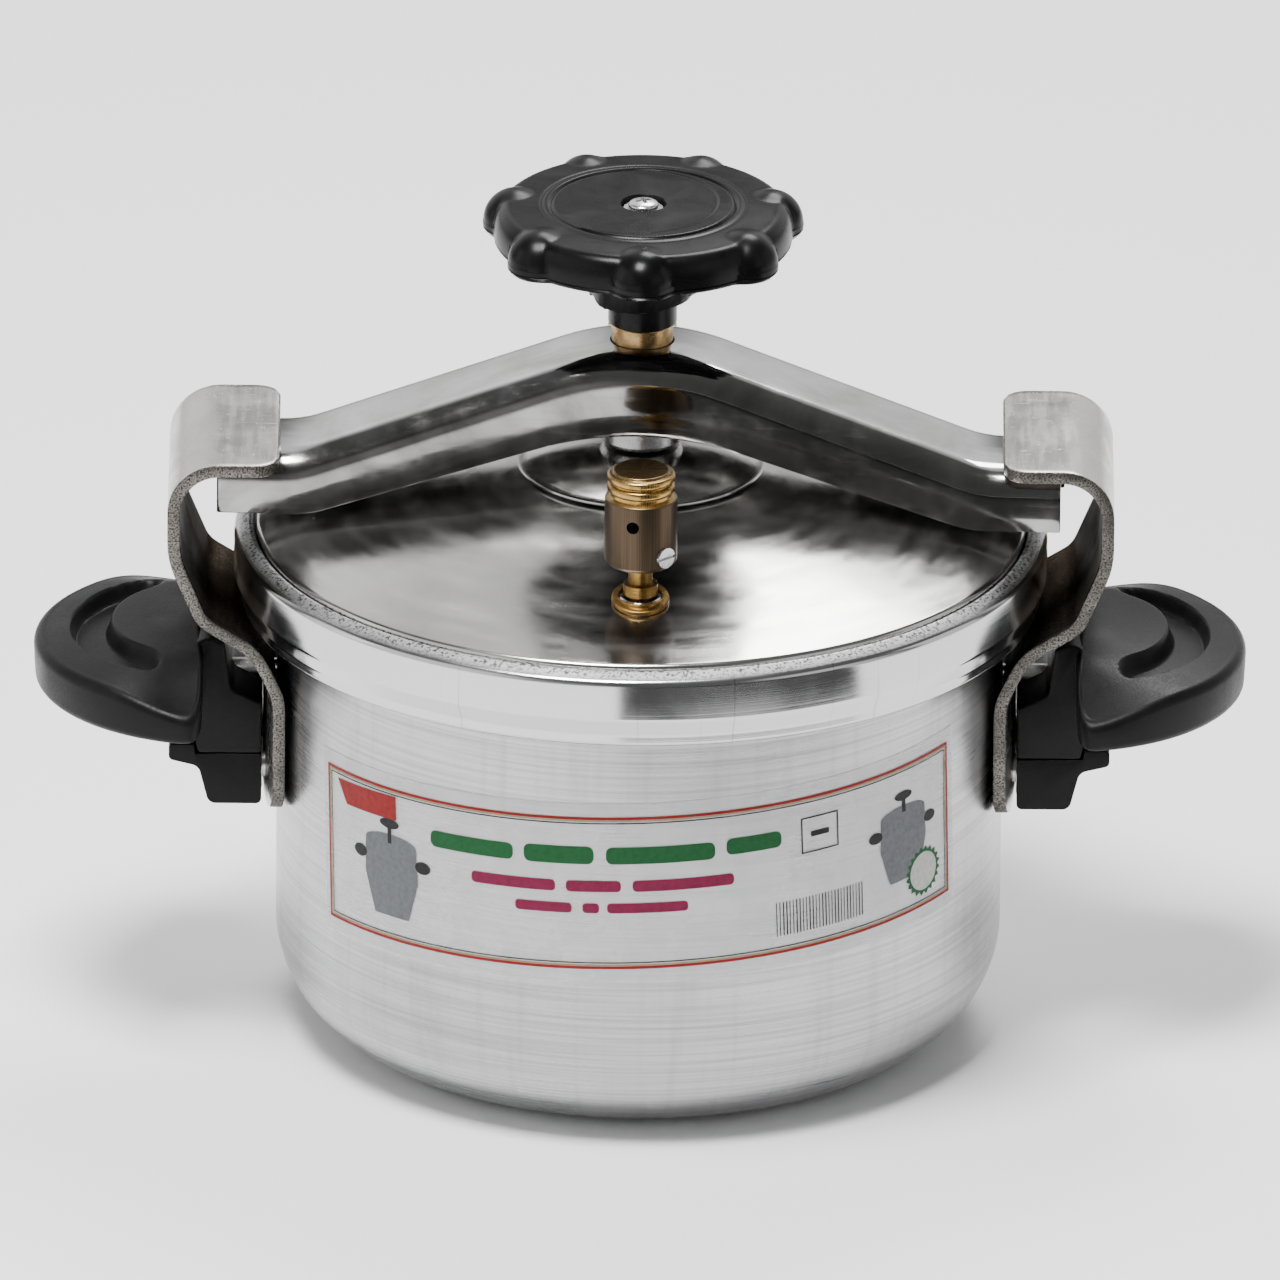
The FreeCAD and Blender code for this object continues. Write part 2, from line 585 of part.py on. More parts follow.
def make_drive():
    """Threaded bush, thrust foot, spindle and the hub that carries the knob."""
    # the sheet arches down round the bush, so its nut sits a little lower
    under = "yoke_z - yoke_sheet - bush_nut_radius * bush_nut_radius / apex_round"
    turned("yoke_bush", [
        ("spindle_radius + fit_gap", under + " - bush_nut_height"),
        ("bush_radius", under + " - bush_nut_height"), ("bush_radius", "bush_top"),
        ("spindle_radius + fit_gap", "bush_top"),
    ])
    turned("yoke_bush_nut", [
        ("bush_radius + fit_gap", under + " - bush_nut_height"),
        ("bush_nut_radius", under + " - bush_nut_height"),
        ("bush_nut_radius", under + " - seat_gap"), ("bush_radius + fit_gap", under + " - seat_gap"),
    ])
    # the foot hangs on the spindle's neck and presses on the lid's cap
    turned("thrust_foot", [
        ("0", "foot_low"), ("foot_radius - foot_chamfer", "foot_low"),
        ("foot_radius", "foot_low + foot_chamfer"),
        ("foot_radius", "foot_top - foot_bevel"), ("foot_radius - foot_bevel", "foot_top"),
        ("foot_neck + fit_gap", "foot_top"), ("foot_neck + fit_gap", "foot_top - neck_height"),
        ("0", "foot_top - neck_height"),
    ])
    turned("spindle", [
        ("0", "foot_top - neck_height + seat_gap"), ("foot_neck", "foot_top - neck_height + seat_gap"),
        ("foot_neck", "foot_top + seat_gap"), ("spindle_radius", "foot_top + seat_gap"),
        ("spindle_radius", "knob_z + spindle_into"),
        ("knob_screw_shank + fit_gap", "knob_z + spindle_into"),
        ("knob_screw_shank + fit_gap", "knob_z - screw_depth"), ("0", "knob_z - screw_depth"),
    ])
    turned("hub_sleeve", [
        ("spindle_radius + fit_gap", "bush_top + rest_gap"), ("hub_radius", "bush_top + rest_gap"),
        ("hub_radius", "hub_top"), ("spindle_radius + fit_gap", "hub_top"),
    ])
    turned("hub_collar", [
        ("spindle_radius + fit_gap", "hub_top + fit_gap"),
        ("hub_collar_radius - hub_taper", "hub_top + fit_gap"),
        ("hub_collar_radius - hub_edge", "hub_top + hub_cone"),
        ("hub_collar_radius", "hub_top + hub_band"),
        ("hub_collar_radius", "knob_z - fit_gap"),
        ("spindle_radius + fit_gap", "knob_z - fit_gap"),
    ])


def make_knob():
    """Hand wheel with round lobes, a recessed crown and a blind bore for the spindle."""
    lobe_circle = "knob_radius - lobe_radius"
    body = new_body("knob")
    sketch = new_sketch(body, "XZ_Plane", "outline")
    floor = "knob_top - recess_depth"
    polygon(sketch, [
        ("spindle_radius + fit_gap", "knob_z"), (lobe_circle, "knob_z"),
        (lobe_circle, "knob_top - lobe_drop"), ("crown_radius", "knob_top - crown_step"),
        ("crown_radius", "knob_top"),
        ("knob_recess", "knob_top"), ("knob_recess", floor), ("knob_screw_shank + fit_gap", floor),
        ("knob_screw_shank + fit_gap", "knob_z + spindle_into + seat_gap"),
        ("spindle_radius + fit_gap", "knob_z + spindle_into + seat_gap"),
    ])
    turn = body.newObject("PartDesign::Revolution", "turn")
    turn.Profile = sketch
    turn.ReferenceAxis = (sketch, ["V_Axis"])
    turn.Angle = 360
    sketch = new_sketch(body, "XY_Plane", "lobe")
    bind(sketch, AttachmentOffset__Base__z="knob_z")
    circle(sketch, "0", "-1 * (%s)" % lobe_circle, "lobe_radius")
    pad = body.newObject("PartDesign::Pad", "lobe_pad")
    pad.Profile = sketch
    bind(pad, Length="knob_height - lobe_drop")
    doc.recompute()
    pattern = body.newObject("PartDesign::PolarPattern", "lobes")
    pattern.Originals = [pad]
    pattern.Axis = (next(f for f in body.Origin.OriginFeatures if f.Role == "Z_Axis"), [""])
    pattern.Angle = 360
    bind(pattern, Occurrences="lobe_count")
    body.Tip = pattern
    keep(body, "knob")
    turned("knob_washer", [
        ("knob_screw_shank + fit_gap", floor + " + fit_gap"),
        ("knob_recess - knob_washer_gap", floor + " + fit_gap"),
        ("knob_recess - knob_washer_gap", floor + " + knob_washer_sheet"),
        ("knob_screw_shank + fit_gap", floor + " + knob_washer_sheet"),
    ])
    head_low = floor + " + knob_washer_sheet + fit_gap"
    turned("knob_screw", [
        ("0", "knob_z - screw_depth + slack"), ("knob_screw_shank", "knob_z - screw_depth + slack"),
        ("knob_screw_shank", head_low), ("knob_screw_radius", head_low),
        ("knob_screw_radius", head_low + " + screw_edge"),
        ("knob_screw_radius - screw_crown", head_low + " + screw_head"),
        ("0", head_low + " + screw_head"),
    ])


# ---------------------------------------------------------------- hooks and handles
def rounded_path(corners, radii):
    """Straight runs joined by tangent arcs, as a wire in the XZ plane."""
    edges = []
    start = corners[0]
    for before, corner, after, radius in zip(corners, corners[1:], corners[2:], radii):
        into = (corner - before).normalize()
        away = (after - corner).normalize()
        turn = into.getAngle(away)
        reach = radius * math.tan(turn / 2)
        enter = corner - into * reach
        leave = corner + away * reach
        inward = (away - into).normalize()
        middle = corner + inward * (radius / math.cos(turn / 2) - radius)
        if (enter - start).Length > 1e-6:
            edges.append(Part.LineSegment(start, enter).toShape())
        edges.append(Part.Arc(enter, middle, leave).toShape())
        start = leave
    edges.append(Part.LineSegment(start, corners[-1]).toShape())
    return Part.Wire(edges)


def make_hook():
    """A strip bent over the yoke's end, bulging clear of the collar, then down the wall."""
    half_sheet = value("hook_sheet") / 2
    lip_z = value("rim + lip_top") - half_sheet
    bulge_x = value("bulge_reach") - half_sheet
    wall_x = value("strip_x") + half_sheet
    rim = value("rim")
    waist = rim - value("hook_waist_z")
    corners = [
        V(value("lip_reach"), 0, lip_z), V(bulge_x, 0, lip_z),
        V(bulge_x, 0, rim - value("bulge_low")),
        V(bulge_x - value("curl_in"), 0, rim - value("curl_z")),
        V(wall_x + value("heel_out"), 0, rim - value("heel_z")), V(wall_x, 0, waist),
        V(wall_x, 0, rim - value("hook_tail")),
    ]
    bends = ("hook_bend", "bulge_bend", "curl_bend", "heel_bend", "waist_bend")
    path = rounded_path(corners, [value(bend) for bend in bends])
    thick = path.makeOffset2D(half_sheet, 0, False, True)
    thin = path.makeOffset2D(-half_sheet, 0, False, True)
    ends = []
    for side in (0, -1):
        a = thick.OrderedVertexes[side].Point
        b = thin.OrderedVertexes[side].Point
        ends.append(Part.LineSegment(a, b).toShape())
    section = Part.Face(Part.Wire(Part.__sortEdges__(thick.Edges + thin.Edges + ends)))
    width = value("hook_width")
    section.translate(V(0, -width / 2, 0))
    strip = section.extrude(V(0, width, 0))
    tail = rim - value("hook_tail")
    corners_to_round = []
    for edge in strip.Edges:
        box = edge.BoundBox
        across = box.XLength > 0.8 * value("hook_sheet") and box.YLength < 0.01
        if across and abs(box.ZMin - tail) < 0.01 and box.ZLength < 0.01:
            corners_to_round.append(edge)
    strip = strip.makeFillet(value("hook_corner"), corners_to_round)
    for y, z, radius in [(0, "bolt_z", "bolt_radius")] + [
            (side * value("rivet_spread"), "rivet_z", "rivet_radius") for side in (-1, 1)]:
        start = V(wall_x - half_sheet - 1, y, rim - value(z))
        drill = Part.makeCylinder(value(radius + " + fit_gap"), 2 * half_sheet + 2, start,
                                  V(1, 0, 0))
        strip = strip.cut(drill)
    hook = doc.addObject("Part::Feature", "hook_right")
    hook.Shape = strip
    keep(hook, "hook_right")
    twin = mirrored("hook_left", hook)
    keep(twin, "hook_left")


def make_grip():
    """Moulded ear with a crescent finger recess, and a neck that stands on the strip."""
    body = new_body("grip_body")
    plate_low = "plate_z - plate_thickness"
    reach = "(handle_reach - block_end + web_depth)"
    root = "(block_end - web_depth)"
    # half an oval, drawn as an ellipse trimmed at the neck
    sketch = new_sketch(body, "XY_Plane", "ear")
    bind(sketch, AttachmentOffset__Base__z=plate_low)
    centre = V(value(root), 0, 0)
    half = value("handle_half")
    long_axis = value(reach)
    side = half > long_axis
    major = V(centre.x, half, 0) if side else V(centre.x + long_axis, 0, 0)
    minor = V(centre.x + long_axis, 0, 0) if side else V(centre.x, half, 0)
    oval = Part.Ellipse(major, minor, centre)
    from_angle = -math.pi if side else -math.pi / 2
    sketch.addGeometry(Part.ArcOfEllipse(oval, from_angle, from_angle + math.pi), False)
    sketch.addGeometry(Part.LineSegment(V(centre.x, half, 0), V(centre.x, -half, 0)), False)
    ends = sorted((sketch.getPoint(0, i).y, i) for i in (1, 2))
    sketch.addConstraint(Sketcher.Constraint("Coincident", 0, ends[1][1], 1, 1))
    sketch.addConstraint(Sketcher.Constraint("Coincident", 0, ends[0][1], 1, 2))
    for kind, geo, pos, text in (
            ("DistanceX", 0, 3, root), ("DistanceY", 0, 3, "0"),
            ("DistanceX", 1, 1, root), ("DistanceY", 1, 1, "handle_half"),
            ("DistanceX", 1, 2, root)):
        rule = sketch.addConstraint(Sketcher.Constraint(kind, geo, pos, value(text)))
        sketch.setExpression("Constraints[%d]" % rule, formula(text))
    pad = body.newObject("PartDesign::Pad", "plate")
    pad.Profile = sketch
    bind(pad, Length="plate_thickness")
    doc.recompute()
    top, low = value("plate_z"), value(plate_low)

    def rim_edge(height):
        def test(edge):
            box = edge.BoundBox
            return box.ZLength < 0.01 and abs(box.ZMin - height) < 0.01 and box.XLength > 5
        return test
    round_edges(body, "grip_round", rim_edge(top))
    round_edges(body, "grip_round", rim_edge(low))
    # neck: a lower block on the strip and a web behind the fixing bolt
    sketch = new_sketch(body, "XZ_Plane", "neck")
    polygon(sketch, [
        ("block_x", "rim - parting_z"), ("block_end", "rim - parting_z"),
        ("block_end", "plate_z"), (root, "plate_z"), (root, "rim - block_top"),
        ("block_x", "rim - block_top"),
    ])
    neck = body.newObject("PartDesign::Pad", "neck_pad")
    neck.Profile = sketch
    neck.Midplane = True
    bind(neck, Length="2 * block_half")
    # crescent recess: between two arcs about a point under the palm
    sketch = new_sketch(body, "XY_Plane", "crescent")
    bind(sketch, AttachmentOffset__Base__z="plate_z - crescent_depth")
    hub_x = "(handle_reach - crescent_tip - crescent_radius)"
    outer, inner = value("crescent_radius"), value("crescent_inner")
    x = value(hub_x)
    inner_x = x - value("crescent_shift")
    outer_arc = Part.Arc(V(x, -outer, 0), V(x + outer, 0, 0), V(x, outer, 0))
    inner_arc = Part.Arc(V(x, inner, 0), V(inner_x + inner, 0, 0), V(x, -inner, 0))
    sketch.addGeometry(outer_arc, False)
    sketch.addGeometry(inner_arc, False)
    for a, b in ((outer, inner), (-inner, -outer)):
        sketch.addGeometry(Part.LineSegment(V(x, a, 0), V(x, b, 0)), False)
    pocket = body.newObject("PartDesign::Pocket", "finger_recess")
    pocket.Profile = sketch
    pocket.Reversed = True
    bind(pocket, Length="crescent_depth + 1")
    # blind hole for the fixing bolt, and its nut pocket
    for name, radius, start, length in (
            ("bolt_hole", "bolt_radius + fit_gap", "block_x - 1", "block_depth + 1"),
            ("nut_seat", "bolt_head + fit_gap", "block_end - nut_pocket", "nut_pocket + 1")):
        hole = body.newObject("PartDesign::SubtractiveCylinder", name)
        hole.MapMode = "Deactivated"
        hole.Placement = FreeCAD.Placement(V(value(start), 0, value("rim - bolt_z")),
                                           FreeCAD.Rotation(V(0, 1, 0), 90))
        bind(hole, Radius=radius, Height=length, Placement__Base__x=start,
             Placement__Base__z="rim - bolt_z")
    hole = body.newObject("PartDesign::SubtractiveCylinder", "screw_hole")
    hole.MapMode = "Deactivated"
    bind(hole, Radius="handle_screw_radius + fit_gap", Height="grip_screw_depth",
         Placement__Base__x="block_x + block_depth / 2", Placement__Base__z="rim - parting_z - 1")
    grip = keep(body, "handle_grip_right")
    keep(mirrored("handle_grip_left", grip), "handle_grip_left")


def make_lower_block():
    """Lower block: seats the grip and covers the strip's rivets."""
    bar = block("block_bar", ("block_x", "-1 * block_half", "rim - block_low"),
                ("block_end", "block_half", "rim - parting_z - seat_gap"))
    holes = [rod("block_screw", "handle_screw_radius + fit_gap",
                 ("block_x + block_depth / 2", "0", "rim - block_low - 1"), "block_low - parting_z + 2",
                 V(0, 0, 1), 0)]
    for side in ("-1", "1"):
        holes.append(rod("block_rivet", "rivet_head + rivet_play",
                         ("block_x - 1", side + " * rivet_spread", "rim - rivet_z"),
                         "rivet_recess + 1", V(0, 1, 0)))
    lower = keep(cut("handle_block_right", bar, joined("block_holes", holes)),
                 "handle_block_right")
    keep(mirrored("handle_block_left", lower), "handle_block_left")


def make_fixings():
    """Bolts, nuts, rivets and screws: the same set on each side."""
    inside = "inner_radius - head_inside"
    shank = rod("bolt_shank", "bolt_radius", (inside, "0", "rim - bolt_z"),
                "block_end - bolt_short - (%s)" % inside, V(0, 1, 0))
    head = rod("bolt_cap", "bolt_head", (inside, "0", "rim - bolt_z"), "head_height",
               V(0, 1, 0))
    bolt = joined("bolt_right", [shank, head])
    bundle("handle_bolts", [bolt, mirrored("bolt_left", bolt)])
    nut_blank = rod("nut_blank", "bolt_head - rest_gap",
                    ("block_end - head_height - nut_play", "0", "rim - bolt_z"), "head_height",
                    V(0, 1, 0))
    nut_drill = rod("nut_drill", "bolt_radius + fit_gap",
                    ("block_end - head_height - 2 * nut_play", "0", "rim - bolt_z"),
                    "head_height + 2 * nut_play", V(0, 1, 0))
    nut = cut("nut_right", nut_blank, nut_drill)
    bundle("handle_nuts", [nut, mirrored("nut_left", nut)])
    stud = rod("screw_stud", "handle_screw_radius",
               ("block_x + block_depth / 2", "0", "rim - block_low + screw_sunk"),
               "block_low - parting_z + screw_bite", V(0, 0, 1), 0)
    bundle("handle_screws", [stud, mirrored("screw_left", stud)])
    # rivets: flat heads inside the pot and on the strip's outer face
    rivets = []
    for side in ("-1", "1"):
        y = side + " * rivet_spread"
        body_pin = rod("rivet_pin", "rivet_radius", (inside, y, "rim - rivet_z"),
                       "strip_out + rivet_flat - (%s)" % inside, V(0, 1, 0))
        inner_head = rod("rivet_inner", "rivet_head", (inside, y, "rim - rivet_z"), "rivet_flat",
                         V(0, 1, 0))
        outer_head = rod("rivet_outer", "rivet_head", ("strip_out + fit_gap", y, "rim - rivet_z"),
                         "rivet_flat - fit_gap", V(0, 1, 0))
        rivet = joined("rivet", [body_pin, inner_head, outer_head])
        rivets += [rivet, mirrored("rivet_twin", rivet)]
    bundle("hook_rivets", rivets)


# ---------------------------------------------------------------- label
def make_label():
    """Thin printed film wrapped on the pot's front, slightly askew."""
    skins = []
    for name, radius in (("film_outer", "pot_radius + fit_gap + label_film"),
                         ("film_inner", "pot_radius + fit_gap")):
        skins.append(rod(name, radius, ("0", "0", "base_corner"), "rim - base_corner", V(0, 0, 1), 0))
    tube = cut("film_tube", skins[0], skins[1])
    window = doc.addObject("Part::Box", "film_window")
    bind(window, Length="label_width", Width="pot_radius", Height="label_height")
    tilt = FreeCAD.Rotation(V(0, 1, 0), -value("label_tilt"))
    window.Placement = FreeCAD.Placement(V(0, 0, 0), tilt)
    bind(window, Placement__Rotation__Angle="label_tilt",
         Placement__Base__x="-1 * label_width / 2 * cos(label_tilt) + label_height / 2 * sin(label_tilt)",
         Placement__Base__y="-1 * pot_radius - 5",
         Placement__Base__z="label_z - label_width / 2 * sin(label_tilt)"
                            " - label_height / 2 * cos(label_tilt)")
    film = doc.addObject("Part::MultiCommon", "label")
    film.Shapes = [tube, window]
    keep(film, "label")


make_pot()
make_hook()
make_grip()
make_lower_block()
make_fixings()
make_label()
make_lid()
make_cap()
make_regulator()
make_safety_valve()
make_yoke()
make_drive()
make_knob()
doc.recompute()

# ---------------------------------------------------------------- checks and export
for obj in doc.Objects:
    if "Invalid" in obj.State or "Error" in obj.State:
        raise RuntimeError("%s (%s): %s" % (obj.Label, obj.Name, obj.State))
os.makedirs("parts", exist_ok=True)
for obj in parts:
    if obj.Shape.isNull() or not obj.Shape.isValid() or not obj.Shape.Solids:
        raise RuntimeError("bad shape: " + obj.Label)
for obj in parts:
    box = obj.Shape.BoundBox
    obj.Shape.exportStep("parts/%s.step" % obj.Label)
    print("%-22s %d solid  %9.1f mm3  z %.1f to %.1f" % (
        obj.Label, len(obj.Shape.Solids), obj.Shape.Volume, box.ZMin, box.ZMax))
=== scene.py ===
from math import atan, cos, degrees, exp, hypot, pi, radians, sin, sqrt, tan

import bmesh
import bpy
from mathutils import Matrix, Vector


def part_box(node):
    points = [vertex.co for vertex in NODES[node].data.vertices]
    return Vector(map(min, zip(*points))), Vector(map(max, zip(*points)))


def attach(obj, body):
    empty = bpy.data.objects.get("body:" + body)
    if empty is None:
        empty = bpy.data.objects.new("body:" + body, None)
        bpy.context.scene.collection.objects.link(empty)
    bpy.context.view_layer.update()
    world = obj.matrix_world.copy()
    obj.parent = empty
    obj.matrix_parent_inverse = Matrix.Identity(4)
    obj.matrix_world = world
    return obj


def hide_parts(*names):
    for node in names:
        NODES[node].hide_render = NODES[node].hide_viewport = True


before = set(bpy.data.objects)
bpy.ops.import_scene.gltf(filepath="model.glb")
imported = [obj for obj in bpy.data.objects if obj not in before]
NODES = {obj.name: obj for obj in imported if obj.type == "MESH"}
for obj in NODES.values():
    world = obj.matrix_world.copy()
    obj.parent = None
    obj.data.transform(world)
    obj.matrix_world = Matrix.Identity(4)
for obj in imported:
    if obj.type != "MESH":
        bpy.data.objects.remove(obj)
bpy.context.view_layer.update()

# Stovetop pressure cooker: looks. Metres, +Z up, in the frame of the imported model.
# -Y is the front, where the steam regulator stands.

MM = 0.001


# ---- sizes read from the frame
def span(node):
    """Lowest and highest corner of a node in millimetres."""
    low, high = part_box(node)
    return [c / MM for c in low], [c / MM for c in high]


def middle_y(node):
    low, high = span(node)
    return (low[1] + high[1]) / 2


COLLAR_R, _, RIM = span("pot_shell")[1]     # outer radius of the collar, height of the rim
POT_R = COLLAR_R - 12              # outer radius of the straight wall
MOUTH_R = POT_R + 6.5              # inner radius of the rim
WALL = 3.2
SEAT_DEPTH = 9                     # from the rim down to the lid's ledge
COLLAR_FOOT = 22                   # from the rim down to the collar's lower edge
LID_R = span("lid_shell")[1][0]
REGULATOR_Y = middle_y("regulator_weight")
VALVE_Y = middle_y("safety_cap")
REGULATOR_BOSS, VALVE_BOSS = 6, 10          # radii of the flat seats pressed into the lid
CAP_LOW, CAP_HIGH = span("lid_cap")
CAP_R, _, CAP_TOP = CAP_HIGH
CONE_TOP = CAP_LOW[2]
CONE_SLOPE = (CONE_TOP - RIM) / (LID_R - CAP_R)
LID_SHEET = 1.6
YOKE_TOP = span("yoke_bush")[1][2] - 5.3
YOKE_HALF = 116
YOKE_WIDTH = 35
YOKE_SHEET = 2.3
YOKE_TURN = radians(-2.5)     # the yoke stands a little askew in the photograph
STRIP = 3.5                        # sheet of the hooks
KNOB_BOTTOM, KNOB_TOP = (corner[2] for corner in span("knob"))
KNOB_R = 45                        # over the lobes
GIRDLE = KNOB_BOTTOM + 3.6         # widest height of the wheel
SKIRT, FLAT = 41.0, 36.4           # radii between the lobes: at the girdle and of the top face
LOBES, LOBE_R = 7, 9
BORE = 6.05                        # round the spindle
HANDLE_TIP = span("handle_grip_right")[1][0]
GRIP_ROOT = 120                    # where the ear meets its neck
EAR_X, OVAL_X = 137, 115           # middles of the ear's mesh and of its oval


# ---- mesh helpers
def new_object(name, data):
    obj = bpy.data.objects.new(name, data)
    bpy.context.scene.collection.objects.link(obj)
    return obj


def add_mesh(name, verts, faces, sharp=35):
    """A mesh object from points in millimetres, smooth but for edges sharper than the angle."""
    mesh = bpy.data.meshes.new(name)
    mesh.from_pydata([Vector(v) * MM for v in verts], [], faces)
    mesh.validate()
    tidy = bmesh.new()
    tidy.from_mesh(mesh)
    bmesh.ops.remove_doubles(tidy, verts=tidy.verts, dist=1e-6)
    bmesh.ops.recalc_face_normals(tidy, faces=tidy.faces)
    tidy.to_mesh(mesh)
    tidy.free()
    mesh.shade_smooth()
    mesh.set_sharp_from_angle(angle=radians(sharp))
    return new_object(name, mesh)


def apply_modifiers(obj, sharp=35):
    """Replace the mesh with its evaluated one."""
    graph = bpy.context.evaluated_depsgraph_get()
    graph.update()
    mesh = bpy.data.meshes.new_from_object(obj.evaluated_get(graph))
    obj.modifiers.clear()
    obj.data = mesh
    mesh.shade_smooth()
    mesh.set_sharp_from_angle(angle=radians(sharp))


def bevel(obj, width, segments, angle, material=-1):
    """Round the sharp edges; width in millimetres."""
    mod = obj.modifiers.new("soft_edges", "BEVEL")
    mod.width = width * MM
    mod.segments = segments
    mod.limit_method = "ANGLE"
    mod.angle_limit = radians(angle)
    mod.material = material
    apply_modifiers(obj)


def combine(obj, tool, operation="DIFFERENCE", sharp=35):
    """Cut the tool out of the piece, or join it on, and delete the tool."""
    mod = obj.modifiers.new("combine", "BOOLEAN")
    mod.operation = operation
    mod.object = tool
    apply_modifiers(obj, sharp)
    bpy.data.objects.remove(tool)


def finish_piece(obj, material, body, slot, *nodes):
    """Give the piece its material and body, and let it stand for CAD nodes."""
    obj.data.materials.clear()
    obj.data.materials.append(material)
    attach(obj, body)
    if nodes:
        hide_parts(*nodes)


def rounded(corners, step=8):
    """Points of an outline whose corners are (x, y, radius)."""
    points = []
    count = len(corners)
    for i, (x, y, radius) in enumerate(corners):
        here = Vector((x, y))
        before = Vector(corners[i - 1][:2])
        after = Vector(corners[(i + 1) % count][:2])
        if radius <= 0:
            points.append(here)
            continue
        into = (here - before).normalized()
        away = (after - here).normalized()
        turn = into.angle(away)
        reach = radius * tan(turn / 2)
        enter = here - into * reach
        side = 1 if into.x * away.y - into.y * away.x > 0 else -1
        centre = enter + Vector((-into.y, into.x)) * side * radius
        arm = enter - centre
        steps = max(2, int(degrees(turn) / step) + 1)
        for k in range(steps + 1):
            angle = side * turn * k / steps
            c, s = cos(angle), sin(angle)
            points.append(centre + Vector((arm.x * c - arm.y * s, arm.x * s + arm.y * c)))
    return points


def lathe(name, outline, centre=(0, 0), segments=96):
    """Turn an outline of radius and height about a vertical axis."""
    verts, faces = [], []
    count = len(outline)
    for k in range(segments):
        angle = 2 * pi * k / segments
        for r, z in outline:
            r = max(r, 0)
            verts.append((centre[0] + r * cos(angle), centre[1] + r * sin(angle), z))
    for k in range(segments):
        here, there = k * count, ((k + 1) % segments) * count
        for i in range(count):
            j = (i + 1) % count
            if outline[i][0] <= 0 and outline[j][0] <= 0:
                continue
            faces.append((here + i, there + i, there + j, here + j))
    return add_mesh(name, verts, faces)


def grid_faces(rows, columns, wrap_rows=False, wrap_columns=False, start=0):
    """Quads over a grid of points stored row by row."""
    faces = []
    for r in range(rows if wrap_rows else rows - 1):
        for c in range(columns if wrap_columns else columns - 1):
            r2, c2 = (r + 1) % rows, (c + 1) % columns
            faces.append(tuple(start + n for n in (
                r * columns + c, r * columns + c2, r2 * columns + c2, r2 * columns + c)))
    return faces


def ring_of_columns(name, count, column, sharp):
    """A closed ring of outlines of radius and height; column makes the one for an angle."""
    verts = []
    for k in range(count):
        angle = 2 * pi * k / count
        c, s = cos(angle), sin(angle)
        points = column(angle)
        verts += [(r * c, r * s, z) for r, z in points]
    faces = grid_faces(count, len(points), wrap_rows=True, wrap_columns=True)
    return add_mesh(name, verts, faces, sharp)


def extrude_outline(name, outline, low, high, place, sharp=35):
    """A prism: outline points in a plane, spread from low to high; place maps to space."""
    count = len(outline)
    verts = [place(p[0], p[1], low) for p in outline] + [place(p[0], p[1], high) for p in outline]
    faces = [tuple(range(count)), tuple(range(2 * count - 1, count - 1, -1))]
    for i in range(count):
        j = (i + 1) % count
        faces.append((i, j, count + j, count + i))
    return add_mesh(name, verts, faces, sharp)


def smoothstep(low, high, x):
    t = min(max((x - low) / (high - low), 0), 1)
    return t * t * (3 - 2 * t)


def smooth_max(a, b, blend):
    """The larger of two numbers, with a rounded join."""
    h = max(blend - abs(a - b), 0) / blend
    return max(a, b) + h * h * blend / 4


# ---- material helpers
class Nodes:
    """A node tree with short ways to add and link nodes."""

    def __init__(self, tree):
        self.tree = tree
        self.place = self.add("TexCoord")

    def add(self, kind, **settings):
        node = self.tree.nodes.new("ShaderNode" + kind)
        for key, number in settings.items():
            setattr(node, key, number)
        return node

    def link(self, source, target):
        self.tree.links.new(source, target)

    def math(self, operation, a, b=None):
        node = self.add("Math", operation=operation)
        for socket, number in zip(node.inputs, (a, b)):
            if number is None:
                continue
            if isinstance(number, (int, float)):
                socket.default_value = number
            else:
                self.link(number, socket)
        return node.outputs[0]

    def ramp(self, source, low, high, out_low=0, out_high=1, kind="LINEAR"):
        node = self.add("MapRange", interpolation_type=kind)
        self.link(source, node.inputs["Value"])
        for key, number in (("From Min", low), ("From Max", high),
                            ("To Min", out_low), ("To Max", out_high)):
            node.inputs[key].default_value = number
        return node.outputs["Result"]


